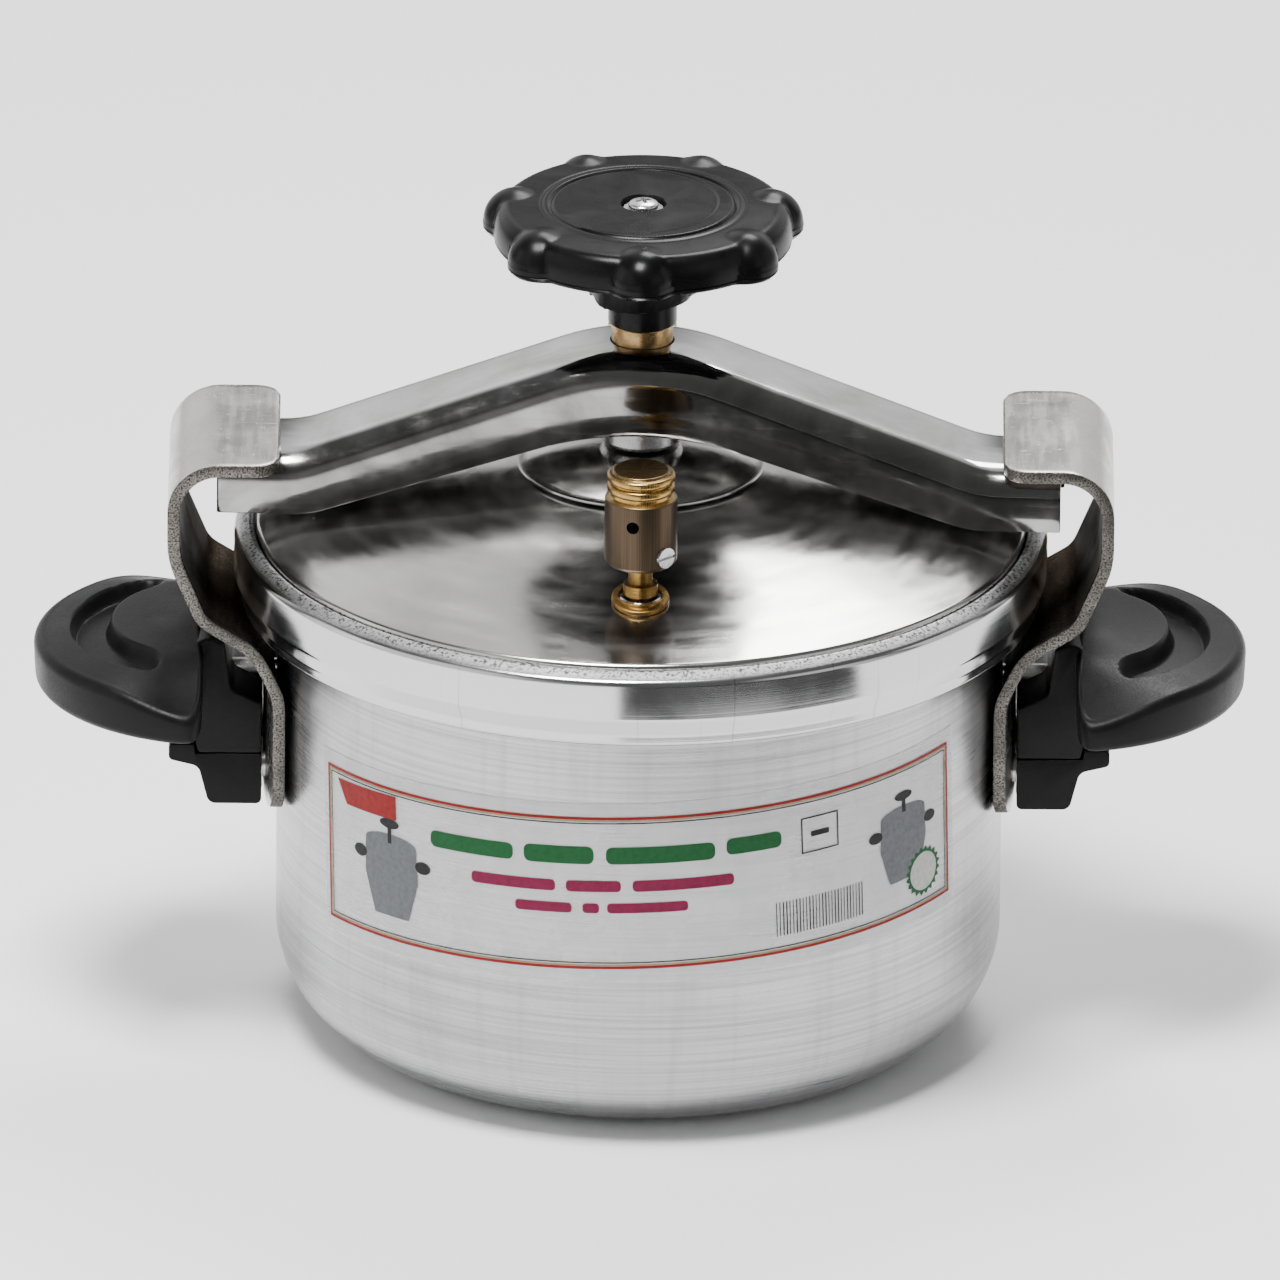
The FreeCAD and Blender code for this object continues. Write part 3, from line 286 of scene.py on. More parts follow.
class Material(Nodes):
    """A Principled material with short ways to add colour, roughness and bump."""

    def __init__(self, name, colour, metallic, roughness, **sockets):
        self.data = bpy.data.materials.new(name)
        self.data.use_nodes = True
        super().__init__(self.data.node_tree)
        self.shader = self.tree.nodes["Principled BSDF"]
        self.shader.inputs["Base Color"].default_value = (*colour, 1)
        self.shader.inputs["Metallic"].default_value = metallic
        self.shader.inputs["Roughness"].default_value = roughness
        for key, number in sockets.items():
            self.shader.inputs[key.replace("_", " ")].default_value = number
        self.normal = None

    def stretched(self, scale):
        """Object coordinates scaled along each axis."""
        mapping = self.add("Mapping")
        mapping.inputs["Scale"].default_value = scale
        self.link(self.place.outputs["Object"], mapping.inputs["Vector"])
        return mapping.outputs["Vector"]

    def noise(self, scale, detail=4, stretch=(1, 1, 1), distortion=0):
        node = self.add("TexNoise")
        node.inputs["Scale"].default_value = scale
        node.inputs["Detail"].default_value = detail
        node.inputs["Roughness"].default_value = 0.55
        node.inputs["Distortion"].default_value = distortion
        self.link(self.stretched(stretch), node.inputs["Vector"])
        return node.outputs["Fac"]

    def polar_noise(self, around, along, up, detail=4, centre=(0, 0)):
        """Noise over angle, radius and height: stretched round the Z axis."""
        shift = self.add("Mapping")
        shift.inputs["Location"].default_value = (-centre[0] * MM, -centre[1] * MM, 0)
        self.link(self.place.outputs["Object"], shift.inputs["Vector"])
        split = self.add("SeparateXYZ")
        self.link(shift.outputs["Vector"], split.inputs[0])
        angle = self.math("ARCTAN2", split.outputs["Y"], split.outputs["X"])
        squares = [self.math("MULTIPLY", split.outputs[k], split.outputs[k]) for k in "XY"]
        radius = self.math("SQRT", self.math("ADD", *squares))
        join = self.add("CombineXYZ")
        parts = (angle, around), (radius, along), (split.outputs["Z"], up)
        for socket, (value, scaling) in zip(join.inputs, parts):
            self.link(self.math("MULTIPLY", value, scaling), socket)
        node = self.add("TexNoise")
        node.inputs["Scale"].default_value = 1
        node.inputs["Detail"].default_value = detail
        self.link(join.outputs[0], node.inputs["Vector"])
        return node.outputs["Fac"]

    def height(self):
        split = self.add("SeparateXYZ")
        self.link(self.place.outputs["Object"], split.inputs[0])
        return split.outputs["Z"]

    def mix(self, factor, a, b):
        """Blend two colours, or a socket and a colour."""
        node = self.add("Mix", data_type="RGBA")
        sockets = [s for s in node.inputs if s.type == "RGBA"]
        self.link(factor, node.inputs[0])
        for socket, colour in zip(sockets, (a, b)):
            if isinstance(colour, tuple):
                socket.default_value = (*colour, 1)
            else:
                self.link(colour, socket)
        return [s for s in node.outputs if s.type == "RGBA"][0]

    def set_colour(self, socket):
        self.link(socket, self.shader.inputs["Base Color"])

    def set_roughness(self, socket):
        self.link(socket, self.shader.inputs["Roughness"])

    def bump(self, source, strength, distance):
        """Stack one more layer of relief; distance in millimetres."""
        node = self.add("Bump")
        node.inputs["Strength"].default_value = strength
        node.inputs["Distance"].default_value = distance * MM
        self.link(source, node.inputs["Height"])
        if self.normal:
            self.link(self.normal, node.inputs["Normal"])
        self.normal = node.outputs["Normal"]
        self.link(self.normal, self.shader.inputs["Normal"])


def pot_metal():
    """Spun aluminium: fine rings round the wall, a polished collar coloured lighter as a painted
    highlight, a dull worn rim top.
    """
    m = Material("spun_aluminium", (0.62, 0.62, 0.625), 1, 0.26)
    rings = m.polar_noise(0.6, 0, 2600, detail=5)
    streaks = m.polar_noise(26, 0, 14, detail=6)
    clouds = m.noise(34, 5)
    rise = m.height()
    collar = m.ramp(rise, (RIM - COLLAR_FOOT - 4) * MM, (RIM - COLLAR_FOOT) * MM)
    rim_top = m.ramp(rise, (RIM - 2.6) * MM, (RIM - 1.4) * MM)
    rough = m.math("ADD", m.ramp(clouds, 0.35, 0.7, 0.24, 0.33),
                   m.ramp(rings, 0.3, 0.7, -0.02, 0.05))
    polished = m.math("SUBTRACT", rough, m.math("MULTIPLY", collar, 0.15))
    worn = m.math("ADD", polished, m.math("MULTIPLY", rim_top, 0.3))
    m.set_roughness(worn)
    turned = m.mix(m.ramp(m.polar_noise(1.2, 0, 900, detail=6), 0.4, 0.68),
                   (0.46, 0.46, 0.465), (0.33, 0.33, 0.335))
    wall = m.mix(m.math("MULTIPLY", m.ramp(streaks, 0.5, 0.75), 0.35), turned, (0.24, 0.24, 0.245))
    # painted highlight: the collar band is coloured lighter than the wall, besides its real polish
    # set in the roughness above
    tint = m.mix(collar, wall, (0.58, 0.58, 0.585))
    scores = m.math("MULTIPLY", collar, m.ramp(m.polar_noise(60, 0, 5, detail=3), 0.66, 0.7))
    marked = m.mix(m.math("MULTIPLY", scores, 0.6), tint, (0.30, 0.295, 0.29))
    dulled = m.mix(m.math("MULTIPLY", rim_top, 0.6), marked, (0.30, 0.30, 0.305))
    speckle = m.math("MULTIPLY", rim_top, m.ramp(m.noise(1100, 4), 0.5, 0.6))
    m.set_colour(m.mix(speckle, dulled, (0.07, 0.068, 0.065)))
    m.bump(rings, 0.25, 0.05)
    m.bump(m.noise(12, 3), 0.25, 0.7)
    m.bump(m.math("MULTIPLY", rim_top, m.noise(700, 5)), 0.4, 0.12)
    return m.data


def lid_metal():
    """Polished sheet with turned micro rings and slight waves from pressing."""
    m = Material("polished_lid", (0.80, 0.80, 0.80), 1, 0.1)
    rings = m.polar_noise(0.5, 2400, 0, detail=4)
    scuffs = m.polar_noise(3, 160, 0, detail=6)
    m.set_roughness(m.math("ADD", m.ramp(scuffs, 0.4, 0.7, 0.14, 0.25),
                           m.ramp(m.noise(60, 5), 0.4, 0.7, 0, 0.04)))
    m.set_colour(m.mix(m.ramp(m.noise(22, 6), 0.45, 0.75),
                       (0.56, 0.555, 0.54), (0.42, 0.41, 0.395)))
    m.bump(rings, 0.18, 0.03)
    m.bump(m.noise(16, 2), 0.3, 0.6)
    return m.data


def yoke_metal():
    """Bright pressed steel, scuffed along its length, with painted shade: its upright faces are
    coloured darker than its top.
    """
    m = Material("bright_yoke", (0.80, 0.80, 0.81), 1, 0.08)
    scratches = m.noise(1, 6, stretch=(30, 420, 420))
    scuffs = m.noise(90, 6)
    facing = m.add("SeparateXYZ")
    m.link(m.place.outputs["Normal"], facing.inputs[0])
    # painted shade: faces turned to the front or back take the darker copy of the mottled colour,
    # top faces the lighter one
    side = m.ramp(m.math("ABSOLUTE", facing.outputs["Y"]), 0.3, 0.9)
    mottle = m.ramp(m.noise(38, 6, distortion=0.6), 0.42, 0.72)
    top = m.mix(mottle, (0.60, 0.60, 0.60), (0.36, 0.35, 0.34))
    face = m.mix(mottle, (0.34, 0.335, 0.33), (0.13, 0.127, 0.12))
    m.set_colour(m.mix(side, top, face))
    m.set_roughness(m.math("ADD", m.ramp(scuffs, 0.42, 0.75, 0.06, 0.22),
                           m.ramp(scratches, 0.55, 0.75, 0, 0.12)))
    m.bump(m.noise(1, 2, stretch=(20, 60, 60)), 0.35, 0.5)
    m.bump(scratches, 0.16, 0.05)
    return m.data


def hook_metal(name="strip_metal", light=(0.58, 0.565, 0.545), dark=(0.49, 0.47, 0.445), edge=1.0):
    """Satin strip: long draw marks, dents and scratches."""
    m = Material(name, light, 1, 0.32)
    m.shader.inputs["Specular Tint"].default_value = (edge, edge, edge, 1)
    dull = 0.16 * (1 - edge)
    draw = m.noise(1, 6, stretch=(500, 40, 40))
    stains = m.noise(45, 6, distortion=1.2)
    m.set_roughness(m.math("ADD", m.ramp(stains, 0.35, 0.7, 0.22 + dull, 0.36 + dull),
                           m.ramp(draw, 0.4, 0.7, -0.03, 0.05)))
    tint = m.mix(m.ramp(stains, 0.42, 0.72), light, dark)
    nicks = m.ramp(m.noise(1, 2, stretch=(90, 2200, 2200)), 0.68, 0.72)
    m.set_colour(m.mix(m.math("MULTIPLY", nicks, 0.7), tint, tuple(c * 0.4 for c in dark)))
    m.bump(draw, 0.2, 0.06)
    m.bump(m.noise(70, 4), 0.35, 0.4)
    m.bump(nicks, 0.4, -0.12)
    return m.data


def cut_edge_metal():
    """Sheared edge of the strip: dark with a fine bright speckle."""
    m = Material("sheared_edge", (0.30, 0.29, 0.27), 1, 0.45)
    grain = m.noise(1900, 5)
    patches = m.ramp(m.noise(110, 4), 0.4, 0.65)
    fine = m.mix(m.ramp(grain, 0.44, 0.6), (0.24, 0.225, 0.205), (0.035, 0.032, 0.028))
    m.set_colour(m.mix(m.math("MULTIPLY", patches, 0.6), fine, (0.055, 0.050, 0.045)))
    m.set_roughness(m.ramp(grain, 0.3, 0.7, 0.3, 0.55))
    m.bump(grain, 0.6, 0.22)
    return m.data


def brass(name, centre, light=(0.50, 0.33, 0.12), dark=(0.24, 0.145, 0.05)):
    """Turned brass, tarnished in patches."""
    m = Material(name, (0.72, 0.53, 0.28), 1, 0.28)
    lines = m.polar_noise(0.6, 0, 3000, centre=centre)
    tarnish = m.noise(220, 5)
    m.set_colour(m.mix(m.ramp(tarnish, 0.4, 0.7), light, dark))
    m.set_roughness(m.ramp(tarnish, 0.3, 0.7, 0.2, 0.4))
    m.bump(lines, 0.35, 0.1)
    m.bump(m.noise(900, 3), 0.12, 0.05)
    return m.data


def weight_brass():
    """Weight: dark brown body with an upright grain, brighter turned rings above."""
    m = Material("brass_drawn", (0.40, 0.27, 0.10), 1, 0.3)
    grain = m.polar_noise(60, 0, 10, centre=(0, REGULATOR_Y), detail=6)
    start = span("regulator_weight")[0][2]
    rings = m.ramp(m.height(), (start + 19.2) * MM, (start + 20.2) * MM)
    crown = m.ramp(m.height(), (start + 26.4) * MM, (start + 26.7) * MM)
    body = m.mix(m.ramp(grain, 0.38, 0.62), (0.105, 0.074, 0.046), (0.060, 0.043, 0.030))
    turned = m.mix(m.ramp(m.noise(260, 5), 0.4, 0.7), (0.48, 0.31, 0.10), (0.25, 0.15, 0.05))
    upper = m.mix(m.math("MULTIPLY", crown, 0.8), turned, (0.13, 0.088, 0.042))
    m.set_colour(m.mix(rings, body, upper))
    m.set_roughness(m.math("SUBTRACT", m.ramp(grain, 0.3, 0.7, 0.30, 0.44),
                           m.math("MULTIPLY", rings, 0.12)))
    m.bump(grain, 0.3, 0.06)
    return m.data


def steel():
    m = Material("plated_steel", (0.66, 0.66, 0.67), 1, 0.25)
    spots = m.noise(300, 5)
    m.set_colour(m.mix(m.ramp(spots, 0.45, 0.75), (0.70, 0.70, 0.71), (0.42, 0.41, 0.40)))
    m.set_roughness(m.ramp(spots, 0.3, 0.7, 0.18, 0.36))
    m.bump(m.noise(1200, 3), 0.15, 0.03)
    return m.data


def bakelite():
    """Satin black moulding with a fine grain and rubbed high spots."""
    m = Material("satin_bakelite", (0.006, 0.006, 0.0065), 0, 0.42, Specular_IOR_Level=0.14)
    grain = m.noise(1700, 3)
    wear = m.noise(60, 6)
    m.set_colour(m.mix(m.ramp(wear, 0.5, 0.8), (0.003, 0.003, 0.0032), (0.007, 0.0068, 0.0066)))
    m.set_roughness(m.math("ADD", m.ramp(wear, 0.35, 0.7, 0.34, 0.5),
                           m.ramp(grain, 0.4, 0.6, -0.04, 0.04)))
    m.bump(grain, 0.45, 0.10)
    m.bump(m.noise(240, 4), 0.12, 0.1)
    return m.data


def knob_plastic():
    """Glossy black moulding with faint flow marks."""
    m = Material("glossy_knob", (0.006, 0.006, 0.0065), 0, 0.3, Specular_IOR_Level=0.15)
    flow = m.noise(70, 6, distortion=0.8)
    m.set_colour(m.mix(m.ramp(flow, 0.5, 0.8), (0.0022, 0.0022, 0.0025), (0.005, 0.0048, 0.0046)))
    m.set_roughness(m.ramp(flow, 0.35, 0.7, 0.24, 0.36))
    m.bump(m.noise(500, 4), 0.08, 0.05)
    m.bump(m.noise(40, 2), 0.2, 0.25)
    return m.data


def rubber():
    m = Material("black_rubber", (0.03, 0.03, 0.03), 0, 0.65)
    grain = m.noise(1500, 3)
    m.set_colour(m.mix(m.ramp(grain, 0.4, 0.7), (0.028, 0.028, 0.028), (0.05, 0.05, 0.05)))
    m.set_roughness(m.ramp(grain, 0.3, 0.7, 0.55, 0.75))
    m.bump(grain, 0.2, 0.05)
    return m.data


def film():
    """Clear plastic film, a little milky, with tiny wrinkles."""
    m = Material("clear_film", (0.80, 0.80, 0.81), 0, 0.16, Alpha=0.3)
    clouds = m.noise(90, 4)
    m.set_colour(m.mix(m.ramp(clouds, 0.35, 0.7), (0.80, 0.80, 0.81), (0.70, 0.70, 0.715)))
    m.set_roughness(m.ramp(clouds, 0.3, 0.7, 0.12, 0.26))
    m.bump(clouds, 0.15, 0.15)
    return m.data


def ink(name, colour):
    """Printed ink with a faint mottle."""
    m = Material(name, colour, 0, 0.5, Specular_IOR_Level=0.2)
    mottle = m.noise(700, 3)
    darker = tuple(c * 0.8 for c in colour)
    m.set_colour(m.mix(m.ramp(mottle, 0.4, 0.7), colour, darker))
    m.set_roughness(m.ramp(mottle, 0.3, 0.7, 0.45, 0.6))
    m.bump(mottle, 0.05, 0.02)
    return m.data


def floor_white():
    return Material("studio_floor", (0.93, 0.93, 0.93), 0, 0.9, Specular_IOR_Level=0.1).data


POT_METAL = pot_metal()
LID_METAL = lid_metal()
YOKE_METAL = yoke_metal()
HOOK_METAL = hook_metal()
# painted shade: a much darker, less tinted copy of the strip metal for the hooks' inner faces
HOOK_INSIDE_SHADED = hook_metal("strip_inside_shaded", (0.115, 0.100, 0.085), (0.042, 0.036, 0.030), 0.15)
EDGE_METAL = cut_edge_metal()
STEEL = steel()
BAKELITE = bakelite()
KNOB_PLASTIC = knob_plastic()
RUBBER = rubber()
FILM = film()
BRASS_WEIGHT = weight_brass()
BRASS_VALVE = brass("brass_valve", (0, VALVE_Y))
BRASS_BUSH = brass("brass_bush", (0, 0), (0.40, 0.26, 0.12), (0.20, 0.125, 0.055))
BRASS_STEM = brass("brass_stem", (0, REGULATOR_Y), (0.42, 0.25, 0.07), (0.16, 0.09, 0.03))


# ---- pot
def make_pot():
    """Spun shell: rounded base, straight wall, rolled collar and the lid's seat."""
    waist = POT_R + 10
    inner = POT_R - WALL
    outline = rounded([
        (0, 0.6, 0), (POT_R - 34, 0.0, 30), (POT_R - 30.5, 0, 3), (POT_R, 0, 31),
        (POT_R, RIM - COLLAR_FOOT - 3, 3), (waist, RIM - COLLAR_FOOT, 1.5), (waist, RIM - 19, 2.5),
        (COLLAR_R, RIM - 14, 3), (COLLAR_R, RIM - 2.8, 2.2), (MOUTH_R, RIM, 1.1),
        (MOUTH_R, RIM - SEAT_DEPTH, 0.6), (inner, RIM - SEAT_DEPTH, 1.2), (inner, 4, 27),
        (0, 4.4, 0),
    ], step=5)
    pot = lathe("pot_body", outline, segments=256)
    finish_piece(pot, POT_METAL, "pot", "pot_aluminium", "pot_shell")


# ---- lid
def make_lid():
    """Pressed cone with flat seats for the two valves, and the domed cap on its middle."""
    edge = RIM - 5.5
    drop = LID_SHEET * sqrt(1 + CONE_SLOPE ** 2)
    inner = LID_R - LID_SHEET
    outline = rounded([
        (0, CONE_TOP, 0), (CAP_R - 3, CONE_TOP, 6), (LID_R, RIM, 1.6), (LID_R, edge, 0.5),
        (inner, edge, 0.3), (inner, RIM - drop + LID_SHEET * CONE_SLOPE, 0.8),
        (CAP_R - 3, CONE_TOP - drop, 6), (0, CONE_TOP - drop, 0),
    ], step=5)
    lid = lathe("lid_cone", outline, segments=256)
    for y, radius in ((REGULATOR_Y, REGULATOR_BOSS), (VALVE_Y, VALVE_BOSS)):
        inset = LID_R - abs(y)
        high = RIM + (inset + radius) * CONE_SLOPE
        low = RIM + (inset - radius) * CONE_SLOPE - drop
        seat = lathe("seat", rounded([(0, high, 0), (radius, high, 0.7), (radius, low, 0.4),
                                      (0, low, 0)]), (0, y), 64)
        combine(lid, seat, "UNION")
    finish_piece(lid, LID_METAL, "lid", "lid_metal", "lid_shell")
    sphere = (CAP_R ** 2 + (CAP_TOP - CONE_TOP) ** 2) / (2 * (CAP_TOP - CONE_TOP))

    def dome(r, inset):
        return CAP_TOP - sphere + sqrt((sphere - inset) ** 2 - r * r)
    steps = 24
    upper = [(CAP_R * k / steps, dome(CAP_R * k / steps, 0)) for k in range(steps)]
    lower = [(r, dome(r, 1.8)) for r, z in reversed(upper)]
    rim = [(CAP_R - 0.1, CONE_TOP + 0.9), (CAP_R, CONE_TOP + 0.55), (CAP_R - 0.15, CONE_TOP + 0.2),
           (CAP_R - 0.6, CONE_TOP + 0.1), (CAP_R - 4, CONE_TOP + 0.12)]
    cap = lathe("lid_dome", upper + rim + lower[2:], segments=160)
    finish_piece(cap, LID_METAL, "lid", "lid_metal", "lid_cap")


# ---- yoke
def chevron_height(x, apex, end, slope, apex_round, end_round):
    """Height of a line that falls both ways from a rounded apex to level ends."""
    x, fall = abs(x), radians(slope)
    turn_off = apex_round * sin(fall)
    line_start = apex - apex_round * (1 - cos(fall))
    knee = turn_off + (line_start - end) / tan(fall)
    reach = end_round * tan(fall / 2)
    if x < turn_off:
        return apex - apex_round + sqrt(apex_round ** 2 - x * x)
    if x < knee - reach * cos(fall):
        return line_start - (x - turn_off) * tan(fall)
    if x < knee + reach:
        return end + end_round - sqrt(end_round ** 2 - (knee + reach - x) ** 2)
    return end


def make_yoke():
    """Pressed channel, lofted from rounded inverted-U sections."""
    end_top = span("hook_right")[1][2] - 3.8
    half, round_out = YOKE_WIDTH / 2, 8.5

    def section(x, sheet):
        """Points of one side of the sheet, from one flange to the other."""
        top = chevron_height(x, YOKE_TOP, end_top, 20.4, 65, 30) - sheet * 1.05
        low = chevron_height(x, RIM + 31.3, RIM + 5.8, 18.5, 90, 30)
        width, radius = half - sheet, round_out - sheet
        points = [(-width, low), (-width, (low + top - radius) / 2), (-width, top - radius)]
        for k in range(1, 9):
            a = radians(90 * k / 8)
            points.append((-width + radius * (1 - cos(a)), top - radius * (1 - sin(a))))
        crown = 0.35
        flat = width - radius
        for k in range(1, 5):
            y = -flat + 2 * flat * k / 5
            points.append((y, top + crown * (1 - (y / flat) ** 2)))
        return points + [(-y, z) for y, z in reversed(points[:11])]

    stations = [YOKE_HALF * (k / 48 - 1) for k in range(97)]
    verts, columns = [], 0
    for x in stations:
        loop = section(x, 0) + list(reversed(section(x, YOKE_SHEET)))
        columns = len(loop)
        verts += [(x, y, z) for y, z in loop]
    faces = grid_faces(len(stations), columns, wrap_columns=True)
    side = columns // 2
    for start in (0, (len(stations) - 1) * columns):
        last = start + columns - 1
        faces += [(start + i, start + i + 1, last - 1 - i, last - i) for i in range(side - 1)]
    yoke = add_mesh("yoke_channel_sheet", verts, faces)
    bevel(yoke, 0.5, 2, 50)
    hole = lathe("bush_hole", [(0, RIM), (8.9, RIM), (8.9, YOKE_TOP + 10), (0, YOKE_TOP + 10)],
                 segments=64)
    combine(yoke, hole)
    yoke.data.transform(Matrix.Rotation(YOKE_TURN, 4, "Z"))
    finish_piece(yoke, YOKE_METAL, "yoke", "yoke_metal", "yoke_channel")


def make_bush():
    low, high = span("yoke_bush")
    bush = lathe("threaded_bush", rounded([
        (BORE, low[2], 0.3), (8.5, low[2], 0.4), (8.5, high[2], 0.7), (BORE, high[2], 0.4)]))
    finish_piece(bush, BRASS_BUSH, "yoke", "brass", "yoke_bush")


# ---- hooks
def hook_path():
    """Middle line of the strip in the XZ plane, from the lip to the tail."""
    bulge, _, lip = (edge - STRIP / 2 for edge in span("hook_right")[1])
    wall = POT_R + 0.3 + STRIP / 2
    corners = [
        (POT_R - 0.5, lip, 0), (bulge, lip, 12.5), (bulge, RIM - 1, 24),
        (bulge - 7.8, RIM - 19.7, 10), (wall + 5, RIM - 28.5, 12), (wall, RIM - 43, 20),
        (wall, RIM - 77.5, 0),
    ]
    points = rounded(corners, step=6)
    dense = [points[0]]
    for a, b in zip(points, points[1:]):
        steps = max(1, int((b - a).length / 1.5))
        dense += [a + (b - a) * (k + 1) / steps for k in range(steps)]
    return dense


def make_hook(side):
    """Bent strip with rounded corners; its tail is dished to follow the pot."""
    path = hook_path()
    lengths = [0]
    for a, b in zip(path, path[1:]):
        lengths.append(lengths[-1] + (b - a).length)
    total = lengths[-1]
    half, across = 30, 24
    sheets = {1: [], -1: []}
    for i, point in enumerate(path):
        ahead = path[min(i + 1, len(path) - 1)] - path[max(i - 1, 0)]
        normal = Vector((-ahead.y, ahead.x)).normalized()
        width = half
        for corner, gone in ((7, lengths[i]), (9, total - lengths[i])):
            if gone < corner:
                width -= corner - sqrt(corner ** 2 - (corner - gone) ** 2)
        dish = 3.0 * smoothstep(RIM - 18, RIM - 44, point.y)
        for face in (1, -1):
            row = []
            for k in range(across + 1):
                y = width * (2 * k / across - 1)
                x = point.x + normal.x * face * STRIP / 2 - dish * (y / half) ** 2
                row.append((side * x, y, point.y + normal.y * face * STRIP / 2))
            sheets[face].append(row)
    rows, columns = len(path), across + 1
    verts = [p for row in sheets[1] for p in row] + [p for row in sheets[-1] for p in row]
    faces = grid_faces(rows, columns) + grid_faces(rows, columns, start=rows * columns)
    border = [r * columns for r in range(rows)]
    border += [(rows - 1) * columns + c for c in range(1, columns)]
    border += [r * columns + columns - 1 for r in range(rows - 2, -1, -1)]
    border += list(range(columns - 2, 0, -1))
    edge_start = len(faces)
    for i, a in enumerate(border):
        b = border[(i + 1) % len(border)]
        faces.append((a, b, b + rows * columns, a + rows * columns))
    label = "right" if side > 0 else "left"
    hook = add_mesh("hook_strip_" + label, verts, faces)
    for material in (HOOK_METAL, EDGE_METAL, HOOK_INSIDE_SHADED):
        hook.data.materials.append(material)
    # painted shade: the inner sheet, facing the pot, takes the darker copy of the strip metal
    for polygon in hook.data.polygons:
        if polygon.index >= edge_start:
            polygon.material_index = 1
        elif polygon.index >= edge_start // 2:
            polygon.material_index = 2
    bevel(hook, 0.45, 2, 50, material=1)
    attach(hook, "pot")
    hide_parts("hook_" + label)


# ---- handles
def ear_radius(angle):
    """Plan radius of the ear about its middle: an oval cut by the line of its root."""
    c, s = cos(angle), sin(angle)
    # a ray from the ear's middle meets the oval
    a, b = HANDLE_TIP - OVAL_X, 51.5
    shift = EAR_X - OVAL_X
    qa = (c / a) ** 2 + (s / b) ** 2
    qb = 2 * shift * c / a ** 2
    qc = (shift / a) ** 2 - 1
    oval = (-qb + sqrt(qb * qb - 4 * qa * qc)) / (2 * qa)
    root = (EAR_X - GRIP_ROOT) / max(-c, 1e-3)
    power = 9
    return (oval ** -power + root ** -power) ** (-1 / power)


def ear_top(x, y):
    """Height of the ear's upper face, with the crown and the crescent recess."""
    out = hypot((x - OVAL_X) / 52, y / 53)
    z = RIM - 35.5 + 7.0 * max(1 - out ** 2.2, 0)
    z += 1.5 * exp(-(y / 15) ** 2) * smoothstep(136, 121, x)
    z -= 5.5 * smoothstep(24, 50, abs(y)) * smoothstep(150, 121, x)
    # crescent: inside the outer ring, outside the tongue, short of the root
    ring = 29 * (1 - hypot((x - 130) / 26.5, y / 32.5))
    tongue = 21 * (hypot((x - 127) / 19, y / 24.5) - 1)
    inside = -smooth_max(-ring, smooth_max(-tongue, 132.5 - x, 5), 5)
    return z - 5.0 * smoothstep(-1.0, 1.5, inside)


def side_block(name, corners, half, soften):
    """A prism drawn in side view, with softened edges."""
    block = extrude_outline(name, rounded(corners, step=12), -half, half,
                            lambda x, z, y: (x, y, z), 30)
    bevel(block, soften, 3, 60)
    return block


def make_grip(side):
    """Moulded ear, its neck with the arched opening, and the lower block."""
    around, radial = 288, 92
    edge, under = 3.2, 2.6
    bottom = RIM - 48.3
    rows = []
    for k in range(around):
        angle = 2 * pi * (k + 0.5) / around
        c, s = cos(angle), sin(angle)
        reach = ear_radius(angle)
        column = []
        for i in range(1, radial + 1):
            r = (reach - edge) * i / radial
            x, y = EAR_X + r * c, r * s
            column.append((x, y, ear_top(x, y)))
        start = column[-1][2]
        for i in range(1, 8):
            a = radians(90 * i / 7)
            r = reach - edge + edge * sin(a)
            column.append((EAR_X + r * c, r * s, start - edge * (1 - cos(a))))
        column.append((EAR_X + (reach - 0.2) * c, (reach - 0.2) * s, (start + bottom) / 2 - 1))
        for i in range(0, 7):
            a = radians(90 * i / 6)
            r = reach - 0.4 - under + under * cos(a)
            column.append((EAR_X + r * c, r * s, bottom + under * (1 - sin(a))))
        for i in range(1, 8):
            r = (reach - 0.4 - under) * (1 - i / 8)
            column.append((EAR_X + r * c, r * s, bottom))
        rows.append(column)
    columns = len(rows[0])
    verts = [p for row in rows for p in row]
    faces = grid_faces(around, columns, wrap_rows=True)
    verts.append((EAR_X, 0, ear_top(EAR_X, 0)))
    verts.append((EAR_X, 0, bottom))
    for k in range(around):
        k2 = (k + 1) % around
        faces.append((len(verts) - 2, k * columns, k2 * columns))
        faces.append((len(verts) - 1, k2 * columns + columns - 1, k * columns + columns - 1))
    label = "right" if side > 0 else "left"
    ear = add_mesh("grip_ear_" + label, verts, faces, 60)
    # neck in side view: stands on the strip, open above the bolt
    neck = side_block("grip_neck_" + label, [
        (104, RIM - 62, 0.8), (121.5, RIM - 62, 1.2), (125, RIM - 47, 3), (125, RIM - 31, 3),
        (119, RIM - 27.6, 3.5), (114.2, RIM - 29.5, 1.5), (112.4, RIM - 43, 3),
        (104, RIM - 47, 1.2)], 21.5, 1.6)
    combine(ear, neck, "UNION", 40)
    lower = side_block("grip_block_" + label, [
        (104, RIM - 77, 1.5), (118.5, RIM - 77, 2.5), (121.3, RIM - 66, 3), (129.5, RIM - 64, 1.5),
        (129.5, RIM - 59.5, 1.2), (122.6, RIM - 59.5, 0.3), (122.2, RIM - 62.25, 0.2),
        (104, RIM - 62.25, 0.8)], 21.3, 1.1)
    for piece in (ear, lower):
        if side < 0:
            piece.data.transform(Matrix.Scale(-1, 4, (1, 0, 0)))
            piece.data.flip_normals()
    finish_piece(ear, BAKELITE, "pot", "bakelite", "handle_grip_" + label)
    finish_piece(lower, BAKELITE, "pot", "bakelite", "handle_block_" + label)


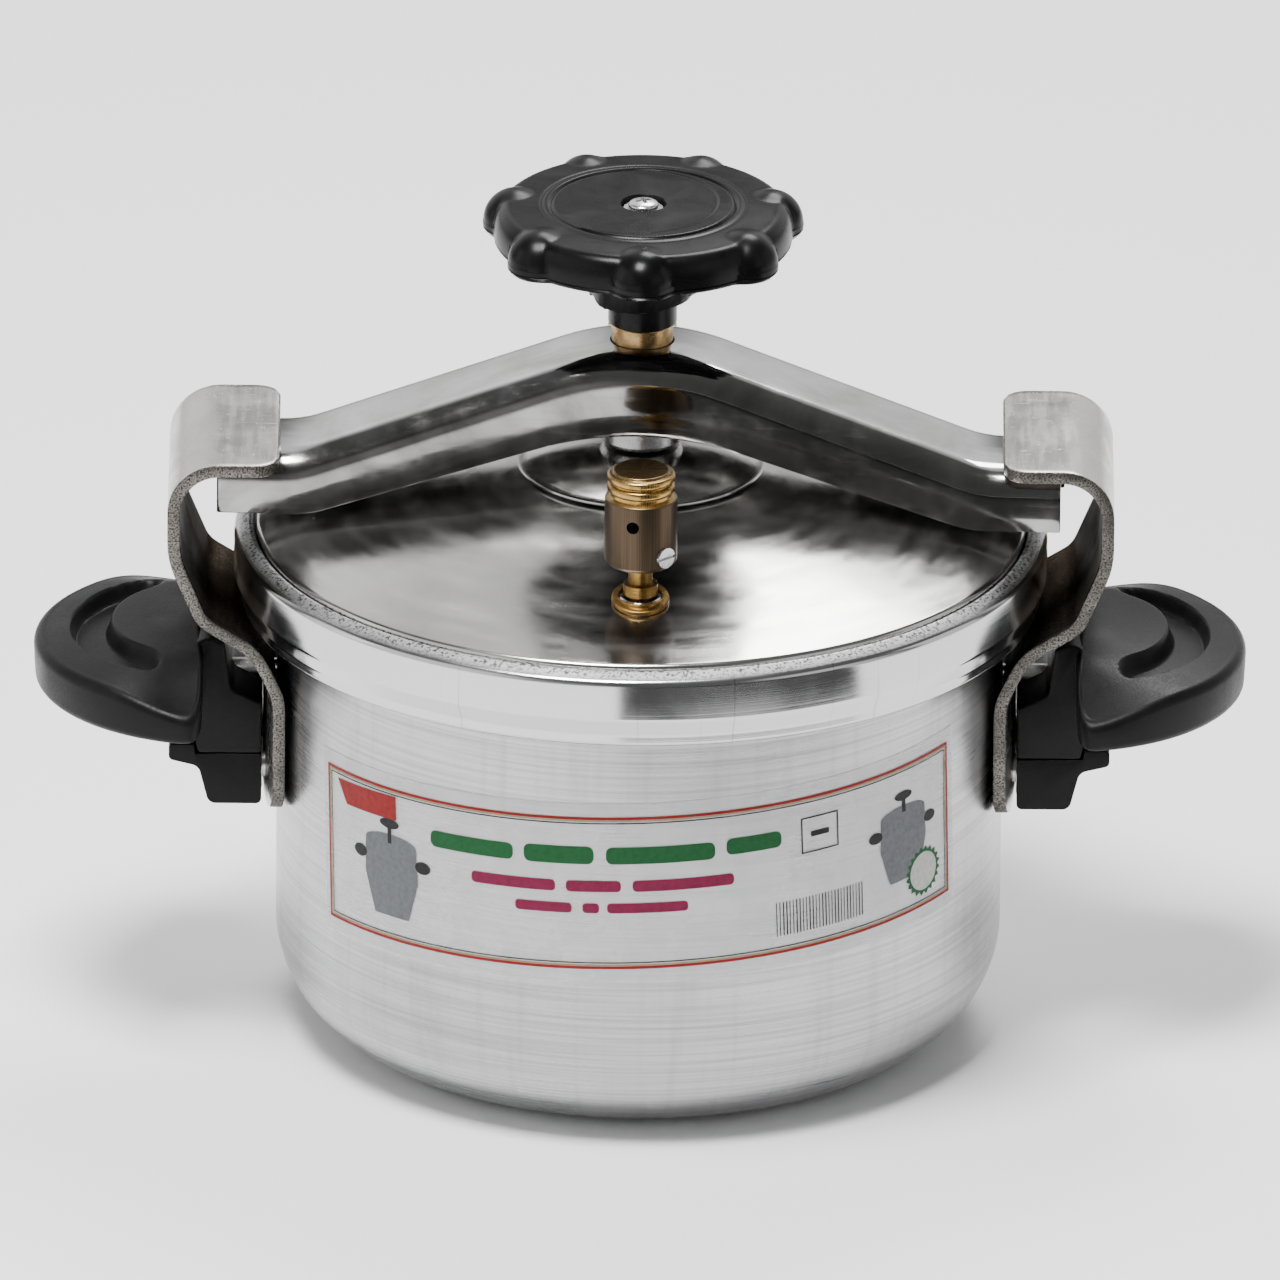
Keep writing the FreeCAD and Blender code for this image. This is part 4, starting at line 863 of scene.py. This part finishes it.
# ---- regulator and valve
def make_regulator():
    """Drilled brass weight with two rings, over its vent stem."""
    low, high = span("regulator_weight")
    z = low[2]
    bore = 3.6
    outline = rounded([
        (bore, z, 0.2), (8.7, z, 0.3), (9.95, z + 1.3, 0.4), (9.95, z + 19.4, 0.5),
        (8.4, z + 20.1, 0.3), (8.3, z + 21.2, 0.3), (9.35, z + 21.3, 1.0), (9.35, z + 23.6, 1.0),
        (8.3, z + 23.8, 0.25), (8.3, z + 24.3, 0.25), (9.35, z + 24.4, 0.9),
        (9.35, z + 26.5, 0.9), (7.9, z + 26.7, 0.4), (7.6, high[2], 0.4), (0, high[2] - 0.15, 0),
        (0, z + 20.3, 0), (1.5, z + 20.3, 0), (1.5, z + 16.3, 0), (bore, z + 16.3, 0),
    ], step=12)
    weight = lathe("weight_brass", outline, (0, REGULATOR_Y), 128)
    for turn, rise, radius in ((-13, 13.8, 1.75), (43, 4.2, 2.95)):
        drill = lathe("drill", [(0, 0), (radius, 0), (radius, 14), (0, 14)], segments=40)
        spin = (Matrix.Rotation(radians(turn), 4, "Z")
                @ Matrix.Rotation(radians(90), 4, "X"))
        place = Matrix.Translation(Vector((0, REGULATOR_Y, z + rise)) * MM) @ spin
        drill.data.transform(place)
        combine(weight, drill)
    finish_piece(weight, BRASS_WEIGHT, "weight", "brass", "regulator_weight")


def make_regulator_flange():
    """Brass flange lying on the cone, with the upright ring round the stem's seat."""
    slope = atan(CONE_SLOPE)
    seat = RIM + (LID_R - abs(REGULATOR_Y) + REGULATOR_BOSS) * CONE_SLOPE
    flange = lathe("regulator_flange", rounded([
        (6.1, -0.1, 0), (7.9, -0.1, 0.2), (7.9, 1.2, 0.5), (6.1, 1.5, 0)]), segments=96)
    flange.data.transform(Matrix.Rotation(slope, 4, "X"))
    middle = RIM + (LID_R - abs(REGULATOR_Y)) * CONE_SLOPE
    flange.data.transform(Matrix.Translation(Vector((0, REGULATOR_Y, middle)) * MM))
    ring = lathe("seat_ring", rounded([
        (6.02, middle - 0.4, 0), (6.5, middle - 0.4, 0), (6.5, seat - 0.3, 0.3),
        (6.02, seat - 0.1, 0.1)]), (0, REGULATOR_Y), 96)
    combine(flange, ring, "UNION")
    finish_piece(flange, BRASS_STEM, "lid", "brass")


# ---- knob
def lobe_distance(r, angle):
    """Plan distance and angle from the nearest lobe's middle; one lobe faces the front."""
    pitch = 2 * pi / LOBES
    first = -pi / 2
    off = (angle - first + pitch / 2) % pitch - pitch / 2
    hub = KNOB_R - LOBE_R
    return sqrt(max(r * r + hub * hub - 2 * r * hub * cos(off), 0)), off


def knob_edge(angle):
    """Outer radius of the wheel at its widest height."""
    hub = KNOB_R - LOBE_R
    off = lobe_distance(hub, angle)[1]
    inside = LOBE_R * LOBE_R - (hub * sin(off)) ** 2
    bulge = hub * cos(off) + sqrt(inside) if inside > 0 else hub
    return smooth_max(SKIRT, bulge, 1.6)


def knob_face(r, angle):
    """Height of the wheel's upper face."""
    face = KNOB_BOTTOM + 12.7 - 1.1 * (min(r, FLAT) / FLAT) ** 2.4
    if r > FLAT:
        drop = min((r - FLAT) / (SKIRT - FLAT), 1)
        face = GIRDLE + (face - GIRDLE) * (1 - drop ** 2.3) ** 0.42
    # the middle disc stands in a groove, with a faint second ring outside it
    face -= 0.35 * smoothstep(25.4, 24.9, r) + 0.75 * exp(-((r - 25.5) / 0.42) ** 2)
    face -= 0.22 * exp(-((r - 28) / 0.5) ** 2)
    # raised crescent of the mould on one side of the disc
    swell = hypot(r * cos(angle) + 3.2, r * sin(angle) - 1.6)
    face += 0.35 * smoothstep(23.4, 24.2, swell) * smoothstep(25.2, 24.7, r)
    away = lobe_distance(r, angle)[0]
    dome = GIRDLE + 0.4 + sqrt(max(79 - away * away, 0)) if away < 8.9 else GIRDLE
    return smooth_max(face, dome, 1.2) - 0.3


def make_knob():
    """Hand wheel with seven domed lobes, a parting line and a recessed screw seat."""
    inner_rings, outer_rings, split = 70, 32, 33
    recess, floor = 6, KNOB_TOP - 3
    bottom = KNOB_BOTTOM

    def column(angle):
        edge = knob_edge(angle)
        start = recess + 0.4
        radii = [start + (split - recess - 0.4) * i / inner_rings for i in range(inner_rings)]
        radii += [split + (edge - split) * sin(pi / 2 * i / outer_rings) ** 0.9
                  for i in range(outer_rings)]
        points = [(2.1, floor), (recess - 0.3, floor), (recess, floor + 0.3),
                  (recess, knob_face(recess, angle) - 0.5)]
        points += [(r, max(knob_face(r, angle), GIRDLE - 0.2)) for r in radii]
        return points + [
            (edge, GIRDLE - 0.2), (edge, GIRDLE - 1.2), (edge - 0.35, GIRDLE - 1.35),
            (edge - 0.35, GIRDLE - 1.6), (edge - 0.1, GIRDLE - 1.8), (edge - 0.5, bottom + 1.2),
            (edge - 1.5, bottom + 0.3), (edge - 3, bottom), (edge - 5, bottom + 0.4),
            (30, bottom + 1.5), (16, bottom + 1.5), (14.9, bottom), (BORE, bottom),
            (BORE, bottom + 4.2), (2.1, bottom + 4.2)]

    knob = ring_of_columns("knob_wheel", 448, column, 50)
    finish_piece(knob, KNOB_PLASTIC, "screw", "knob_plastic", "knob")


def make_hub():
    """Black collar under the knob; the sleeve that hides the spindle is the CAD node, given its
    material in dress_nodes.
    """
    base, top = (corner[2] for corner in span("hub_collar"))

    def away(angle, place):
        return (angle - radians(place) + pi) % (2 * pi) - pi

    def column(angle):
        # the lip is broken short on the left and at the front right
        broken = 1.7 * exp(-(away(angle, 197) / 0.2) ** 4)
        broken += 2.6 * exp(-(away(angle, 325) / 0.55) ** 2)
        lip = base + 0.9 + broken + 0.12 * sin(19 * angle) + 0.08 * sin(43 * angle)
        return [(BORE, base), (9.6, base), (9.7, base + 1.6), (13.4, base + 1.6),
                (13.9, lip), (14.5, lip), (14.75, lip + 0.5), (15, top - 0.6), (14.7, top),
                (BORE, top)]

    collar = ring_of_columns("hub_collar_moulding", 180, column, 40)
    finish_piece(collar, KNOB_PLASTIC, "screw", "knob_plastic", "hub_collar")


def make_knob_screw():
    """Pan head with a cross recess."""
    low, high = span("knob_screw")
    top = high[2]
    head = 4.15
    outline = [(0, low[2]), (1.2, low[2]), (2, low[2] + 1.2), (2, top - 2.2), (head, top - 2.2),
               (head, top - 1.3)]
    for k in range(1, 9):
        a = radians(90 * k / 8)
        outline.append((head * cos(a), top - 1.3 + 1.3 * sin(a)))
    outline[-1] = (0, top)
    screw = lathe("pan_screw", outline, segments=64)
    for turn in (20, 110):
        bar = extrude_outline("cross", [(-0.55, -2.1), (0.55, -2.1), (0.55, 2.1), (-0.55, 2.1)],
                              top - 1.3, top + 1, lambda x, y, z: (x, y, z))
        bar.data.transform(Matrix.Rotation(radians(turn), 4, "Z"))
        combine(screw, bar, sharp=30)
    finish_piece(screw, STEEL, "screw", "steel", "knob_screw")


# ---- label
LABEL_TILT = radians(2.3)
LABEL_Z = RIM - 69.6
# middle and scale of the two small drawings of a pot
DRAWINGS = ((-74.6, 0, 1), (81.5, 2.5, 0.92))


def on_wall(across, up, lift):
    """A point of the label: across and up in its own plane, wrapped on the pot."""
    c, s = cos(LABEL_TILT), sin(LABEL_TILT)
    along = across * c - up * s
    rise = across * s + up * c
    radius = POT_R + 0.06 + lift
    angle = along / POT_R
    return (radius * sin(angle), -radius * cos(angle), LABEL_Z + rise)


def patch(left, bottom, right, top, lift=0.22):
    """A wrapped rectangle as verts and faces."""
    columns = max(2, int(abs(right - left) / 1.5) + 2)
    verts = []
    for up in (bottom, top):
        for k in range(columns):
            verts.append(on_wall(left + (right - left) * k / (columns - 1), up, lift))
    return verts, grid_faces(2, columns)


def shape(corners, lift=0.24, rings=4):
    """A wrapped outline, filled from its middle in rings so that it follows the wall."""
    middle = [sum(c[i] for c in corners) / len(corners) for i in (0, 1)]
    dense = []
    for a, b in zip(corners, corners[1:] + corners[:1]):
        steps = max(1, int(hypot(b[0] - a[0], b[1] - a[1]) / 2))
        dense += [(a[0] + (b[0] - a[0]) * k / steps, a[1] + (b[1] - a[1]) * k / steps)
                  for k in range(steps)]
    count = len(dense)
    verts = []
    for ring in range(1, rings + 1):
        t = ring / rings
        verts += [on_wall(middle[0] + (x - middle[0]) * t, middle[1] + (y - middle[1]) * t, lift)
                  for x, y in dense]
    faces = grid_faces(rings, count, wrap_columns=True)
    verts.append(on_wall(*middle, lift))
    faces += [(len(verts) - 1, k, (k + 1) % count) for k in range(count)]
    return verts, faces


def disc(across, up, radius, lift=0.24, squash=1.0):
    points = []
    for k in range(28):
        a = pi * k / 14
        points.append((across + radius * cos(a), up + radius * squash * sin(a)))
    return shape(points, lift)


def bar(left, right, low, high):
    """A plain bar with rounded corners."""
    radius = min(right - left, high - low) * 0.35
    corners = [(left, low, radius), (right, low, radius), (right, high, radius),
               (left, high, radius)]
    return shape([tuple(p) for p in rounded(corners, 30)])


def star(across, up, outer, inner):
    """A spiked disc."""
    points = []
    for k in range(40):
        a = pi * k / 20
        r = outer if k % 2 else inner
        points.append((across + r * cos(a), up + r * sin(a)))
    return shape(points, 0.28)


def print_layer(name, material, shapes):
    """Join wrapped shapes into one printed layer."""
    verts, faces = [], []
    for shape_verts, shape_faces in shapes:
        start = len(verts)
        verts += shape_verts
        faces += [tuple(start + i for i in face) for face in shape_faces]
    layer = add_mesh(name, verts, faces, 60)
    outward = sum(p.normal.y for p in layer.data.polygons)
    if outward > 0:
        layer.data.flip_normals()
    finish_piece(layer, material, "pot", "label_film")


def make_label():
    """Clear film with a coloured frame and plain bars where the print would be."""
    half_w, half_h = 103.5, 26.5
    columns = 140
    verts = []
    for lift in (0.0, 0.18):
        for up in (-half_h, half_h):
            for k in range(columns):
                verts.append(on_wall(half_w * (2 * k / (columns - 1) - 1), up, lift))
    faces = grid_faces(2, columns) + grid_faces(2, columns, start=2 * columns)
    border = list(range(columns)) + [2 * columns - 1 - k for k in range(columns)]
    for a, b in zip(border, border[1:] + border[:1]):
        faces.append((a, b, b + 2 * columns, a + 2 * columns))
    sheet = add_mesh("label_sheet", verts, faces, 60)
    finish_piece(sheet, FILM, "pot", "label_film", "label")
    w, h = 101, 22.5

    def border_line(inset, width):
        a, b = w - inset, h - inset
        return [patch(-a, b - width, a, b), patch(-a, -b, a, -b + width),
                patch(-a, -b, -a + width, b), patch(a - width, -b, a, b)]
    flag = shape([(-96, 19.4), (-72, 20.2), (-72, 13.2), (-92, 12.8)], 0.26)
    print_layer("label_red_frame", ink("ink_red", (0.22, 0.006, 0.005)),
                border_line(0, 0.8) + [flag])
    print_layer("label_gold_frame", ink("ink_gold", (0.30, 0.20, 0.06)), border_line(0.95, 0.35))
    dark = border_line(1.7, 0.32)
    # plain stripes, and a square outline with a dash in it
    for k in range(28):
        width = (0.25, 0.55, 0.35, 0.7)[(k * k + 3 * k) % 4]
        dark.append(patch(38.4 + k, -17.4, 38.4 + k + width, -7.4, 0.24))
    for left, low, right, high in ((46.6, 15.8, 58.2, 16.2), (46.6, 5.6, 58.2, 6.0),
                                   (46.6, 5.6, 47.0, 16.2), (57.8, 5.6, 58.2, 16.2),
                                   (49.6, 10.2, 55.2, 11.8)):
        dark.append(patch(left, low, right, high, 0.24))
    # handles and hand wheels of the drawings
    for x, y, scale in DRAWINGS:
        for side in (-1, 1):
            dark.append(disc(x + side * 11.6 * scale, y + 1.2, 2.6 * scale, 0.28, squash=0.7))
        dark.append(disc(x, y + 11.8 * scale, 3.6 * scale, 0.28, squash=0.4))
        dark.append(patch(x - 0.7, y + 6, x + 0.7, y + 11 * scale, 0.28))
    print_layer("label_dark_print", ink("ink_dark", (0.010, 0.010, 0.010)), dark)
    pots = []
    for x, y, scale in DRAWINGS:
        pots.append(shape([(x - 9.4 * scale, y + 6 * scale), (x + 9.4 * scale, y + 6 * scale),
                           (x + 9.8 * scale, y - 4 * scale), (x + 6.2 * scale, y - 15.5 * scale),
                           (x - 6.2 * scale, y - 15.5 * scale),
                           (x - 9.8 * scale, y - 4 * scale)], 0.24))
        pots.append(disc(x, y + 6 * scale, 9.4 * scale, 0.25, squash=0.28))
    print_layer("label_grey_print", ink("ink_grey", (0.11, 0.115, 0.125)), pots)
    # plain rounded bars in two colours
    green = [bar(-60, -34.6, 8.6, 13.4), bar(-31.4, -11.8, 8.6, 13.8), bar(-8.4, 21.6, 8.6, 13.6),
             bar(24.8, 40.6, 9.2, 14.0), star(89.2, -12, 7.4, 6.2)]
    print_layer("label_green_print", ink("ink_green", (0.003, 0.075, 0.018)), green)
    print_layer("label_white_print", ink("ink_white", (0.42, 0.42, 0.41)),
                [disc(89.2, -12, 5.6, 0.3)])
    magenta = [bar(-47.2, -22.8, 0.4, 3.7), bar(-19.8, -4.6, 0.4, 3.7), bar(-1.4, 26.6, 0.4, 3.7),
               bar(-34.4, -18.4, -5.9, -3.0), bar(-15.4, -10.8, -5.9, -3.0),
               bar(-8.6, 13.6, -5.9, -3.0)]
    print_layer("label_magenta_print", ink("ink_magenta", (0.16, 0.005, 0.038)), magenta)


# ---- carried-over CAD nodes
def dress(node, material):
    """Give a CAD node that shows as it is its material."""
    obj = NODES[node]
    for slot in obj.material_slots:
        slot.material = material
    if not obj.material_slots:
        obj.data.materials.append(material)


def dress_nodes():
    for node in ("handle_bolts", "handle_nuts", "handle_screws", "regulator_needle",
                 "regulator_set_screw", "safety_spring", "yoke_bush_nut", "thrust_foot",
                 "spindle", "knob_washer"):
        dress(node, STEEL)
    for node in ("safety_body", "safety_nut", "safety_cap", "safety_plunger"):
        dress(node, BRASS_VALVE)
    for node in ("regulator_stem", "regulator_nut"):
        dress(node, BRASS_STEM)
    for node in ("lid_gasket", "regulator_washer", "safety_washer"):
        dress(node, RUBBER)
    dress("hook_rivets", HOOK_METAL)
    dress("hub_sleeve", KNOB_PLASTIC)


# ---- stage, light, camera
def make_stage():
    half = 60 / MM
    floor = add_mesh("floor", [(-half, -half, 0), (half, -half, 0), (half, half, 0),
                               (-half, half, 0)], [(0, 1, 2, 3)])
    floor.data.materials.append(floor_white())


def make_shade():
    """Dark card lying out of frame in front; only reflections see it."""
    verts, count = [], 24
    for radius in (0.378, 8):
        for k in range(count):
            a = radians(-95 + 62 * k / (count - 1))
            verts.append((radius / MM * cos(a), radius / MM * sin(a), 3))
    card = add_mesh("shade_card", verts, grid_faces(2, count))
    m = Material("card_black", (0.01, 0.01, 0.01), 0, 0.8)
    m.bump(m.noise(200, 3), 0.1, 0.1)
    card.data.materials.append(m.data)
    card.visible_camera = False
    card.visible_shadow = False
    card.visible_diffuse = False


AMBIENT = 0.14                     # the studio away from its patches of light


def make_world():
    """White studio: bright behind and above, darker towards the front right."""
    world = bpy.data.worlds.new("studio")
    bpy.context.scene.world = world
    world.use_nodes = True
    nodes = Nodes(world.node_tree)
    # soft round patches: direction, degrees of full light and of none, brightness
    patches = (
        ((0, 1, 1.25), 18, 32, 0.85),
        ((0.65, 1, 0.3), 14, 34, 1.0),
        ((-0.65, 1, 0.3), 14, 34, 1.2),
        ((-1, -0.5, 0.3), 16, 36, 1.1),
        ((1, -0.7, 0.25), 10, 28, 0.7),
        ((-0.5, -1, 0.08), 8, 24, 0.3),
    )
    total = None
    for direction, inner, outer, brightness in patches:
        dot = nodes.add("VectorMath", operation="DOT_PRODUCT")
        dot.inputs[1].default_value = Vector(direction).normalized()
        nodes.link(nodes.place.outputs["Generated"], dot.inputs[0])
        light = nodes.ramp(dot.outputs["Value"], cos(radians(outer)),
                           cos(radians(inner)), 0, brightness, "SMOOTHSTEP")
        total = nodes.math("ADD", total, light) if total else light
    background = world.node_tree.nodes["Background"]
    nodes.link(nodes.math("ADD", total, AMBIENT), background.inputs["Strength"])
    background.inputs["Color"].default_value = (1, 1, 1, 1)


def area_light(name, place, aim, size, power):
    light = bpy.data.lights.new(name, "AREA")
    light.shape = "RECTANGLE"
    light.size, light.size_y = size
    light.energy = power
    obj = new_object(name, light)
    obj.location = place
    obj.rotation_euler = (Vector(aim) - Vector(place)).to_track_quat("-Z", "Y").to_euler()


def make_lights():
    area_light("key_top", (-0.25, -0.5, 1.7), (0, 0.1, 0), (0.6, 0.6), 62)
    area_light("rear_top", (0.4, 1.5, 2.0), (0, 0.5, 0), (0.9, 0.9), 42)
    area_light("side_left", (-1.8, 0.1, 0.7), (0, 0, 0.12), (0.8, 1.2), 3.5)
    area_light("side_right", (1.8, 0.1, 0.7), (0, 0, 0.12), (0.8, 1.2), 2.5)


def make_camera():
    elevation, distance, roll = radians(22.52), 12.0, radians(0.45)
    target = Vector((0, 0, 0.1112))
    camera = bpy.data.cameras.new("camera")
    camera.sensor_width = 36
    camera.lens = 1225
    camera.clip_start, camera.clip_end = 0.1, 100
    obj = new_object("camera", camera)
    obj.location = target + distance * Vector((0, -cos(elevation), sin(elevation)))
    facing = Matrix.Rotation(pi / 2 - elevation, 4, "X") @ Matrix.Rotation(roll, 4, "Z")
    obj.rotation_euler = facing.to_euler()
    bpy.context.scene.camera = obj


make_stage()
make_shade()
make_world()
make_lights()
make_camera()
make_pot()
make_lid()
make_yoke()
make_bush()
make_hook(1)
make_hook(-1)
make_grip(1)
make_grip(-1)
make_regulator()
make_regulator_flange()
make_knob()
make_hub()
make_knob_screw()
make_label()
dress_nodes()
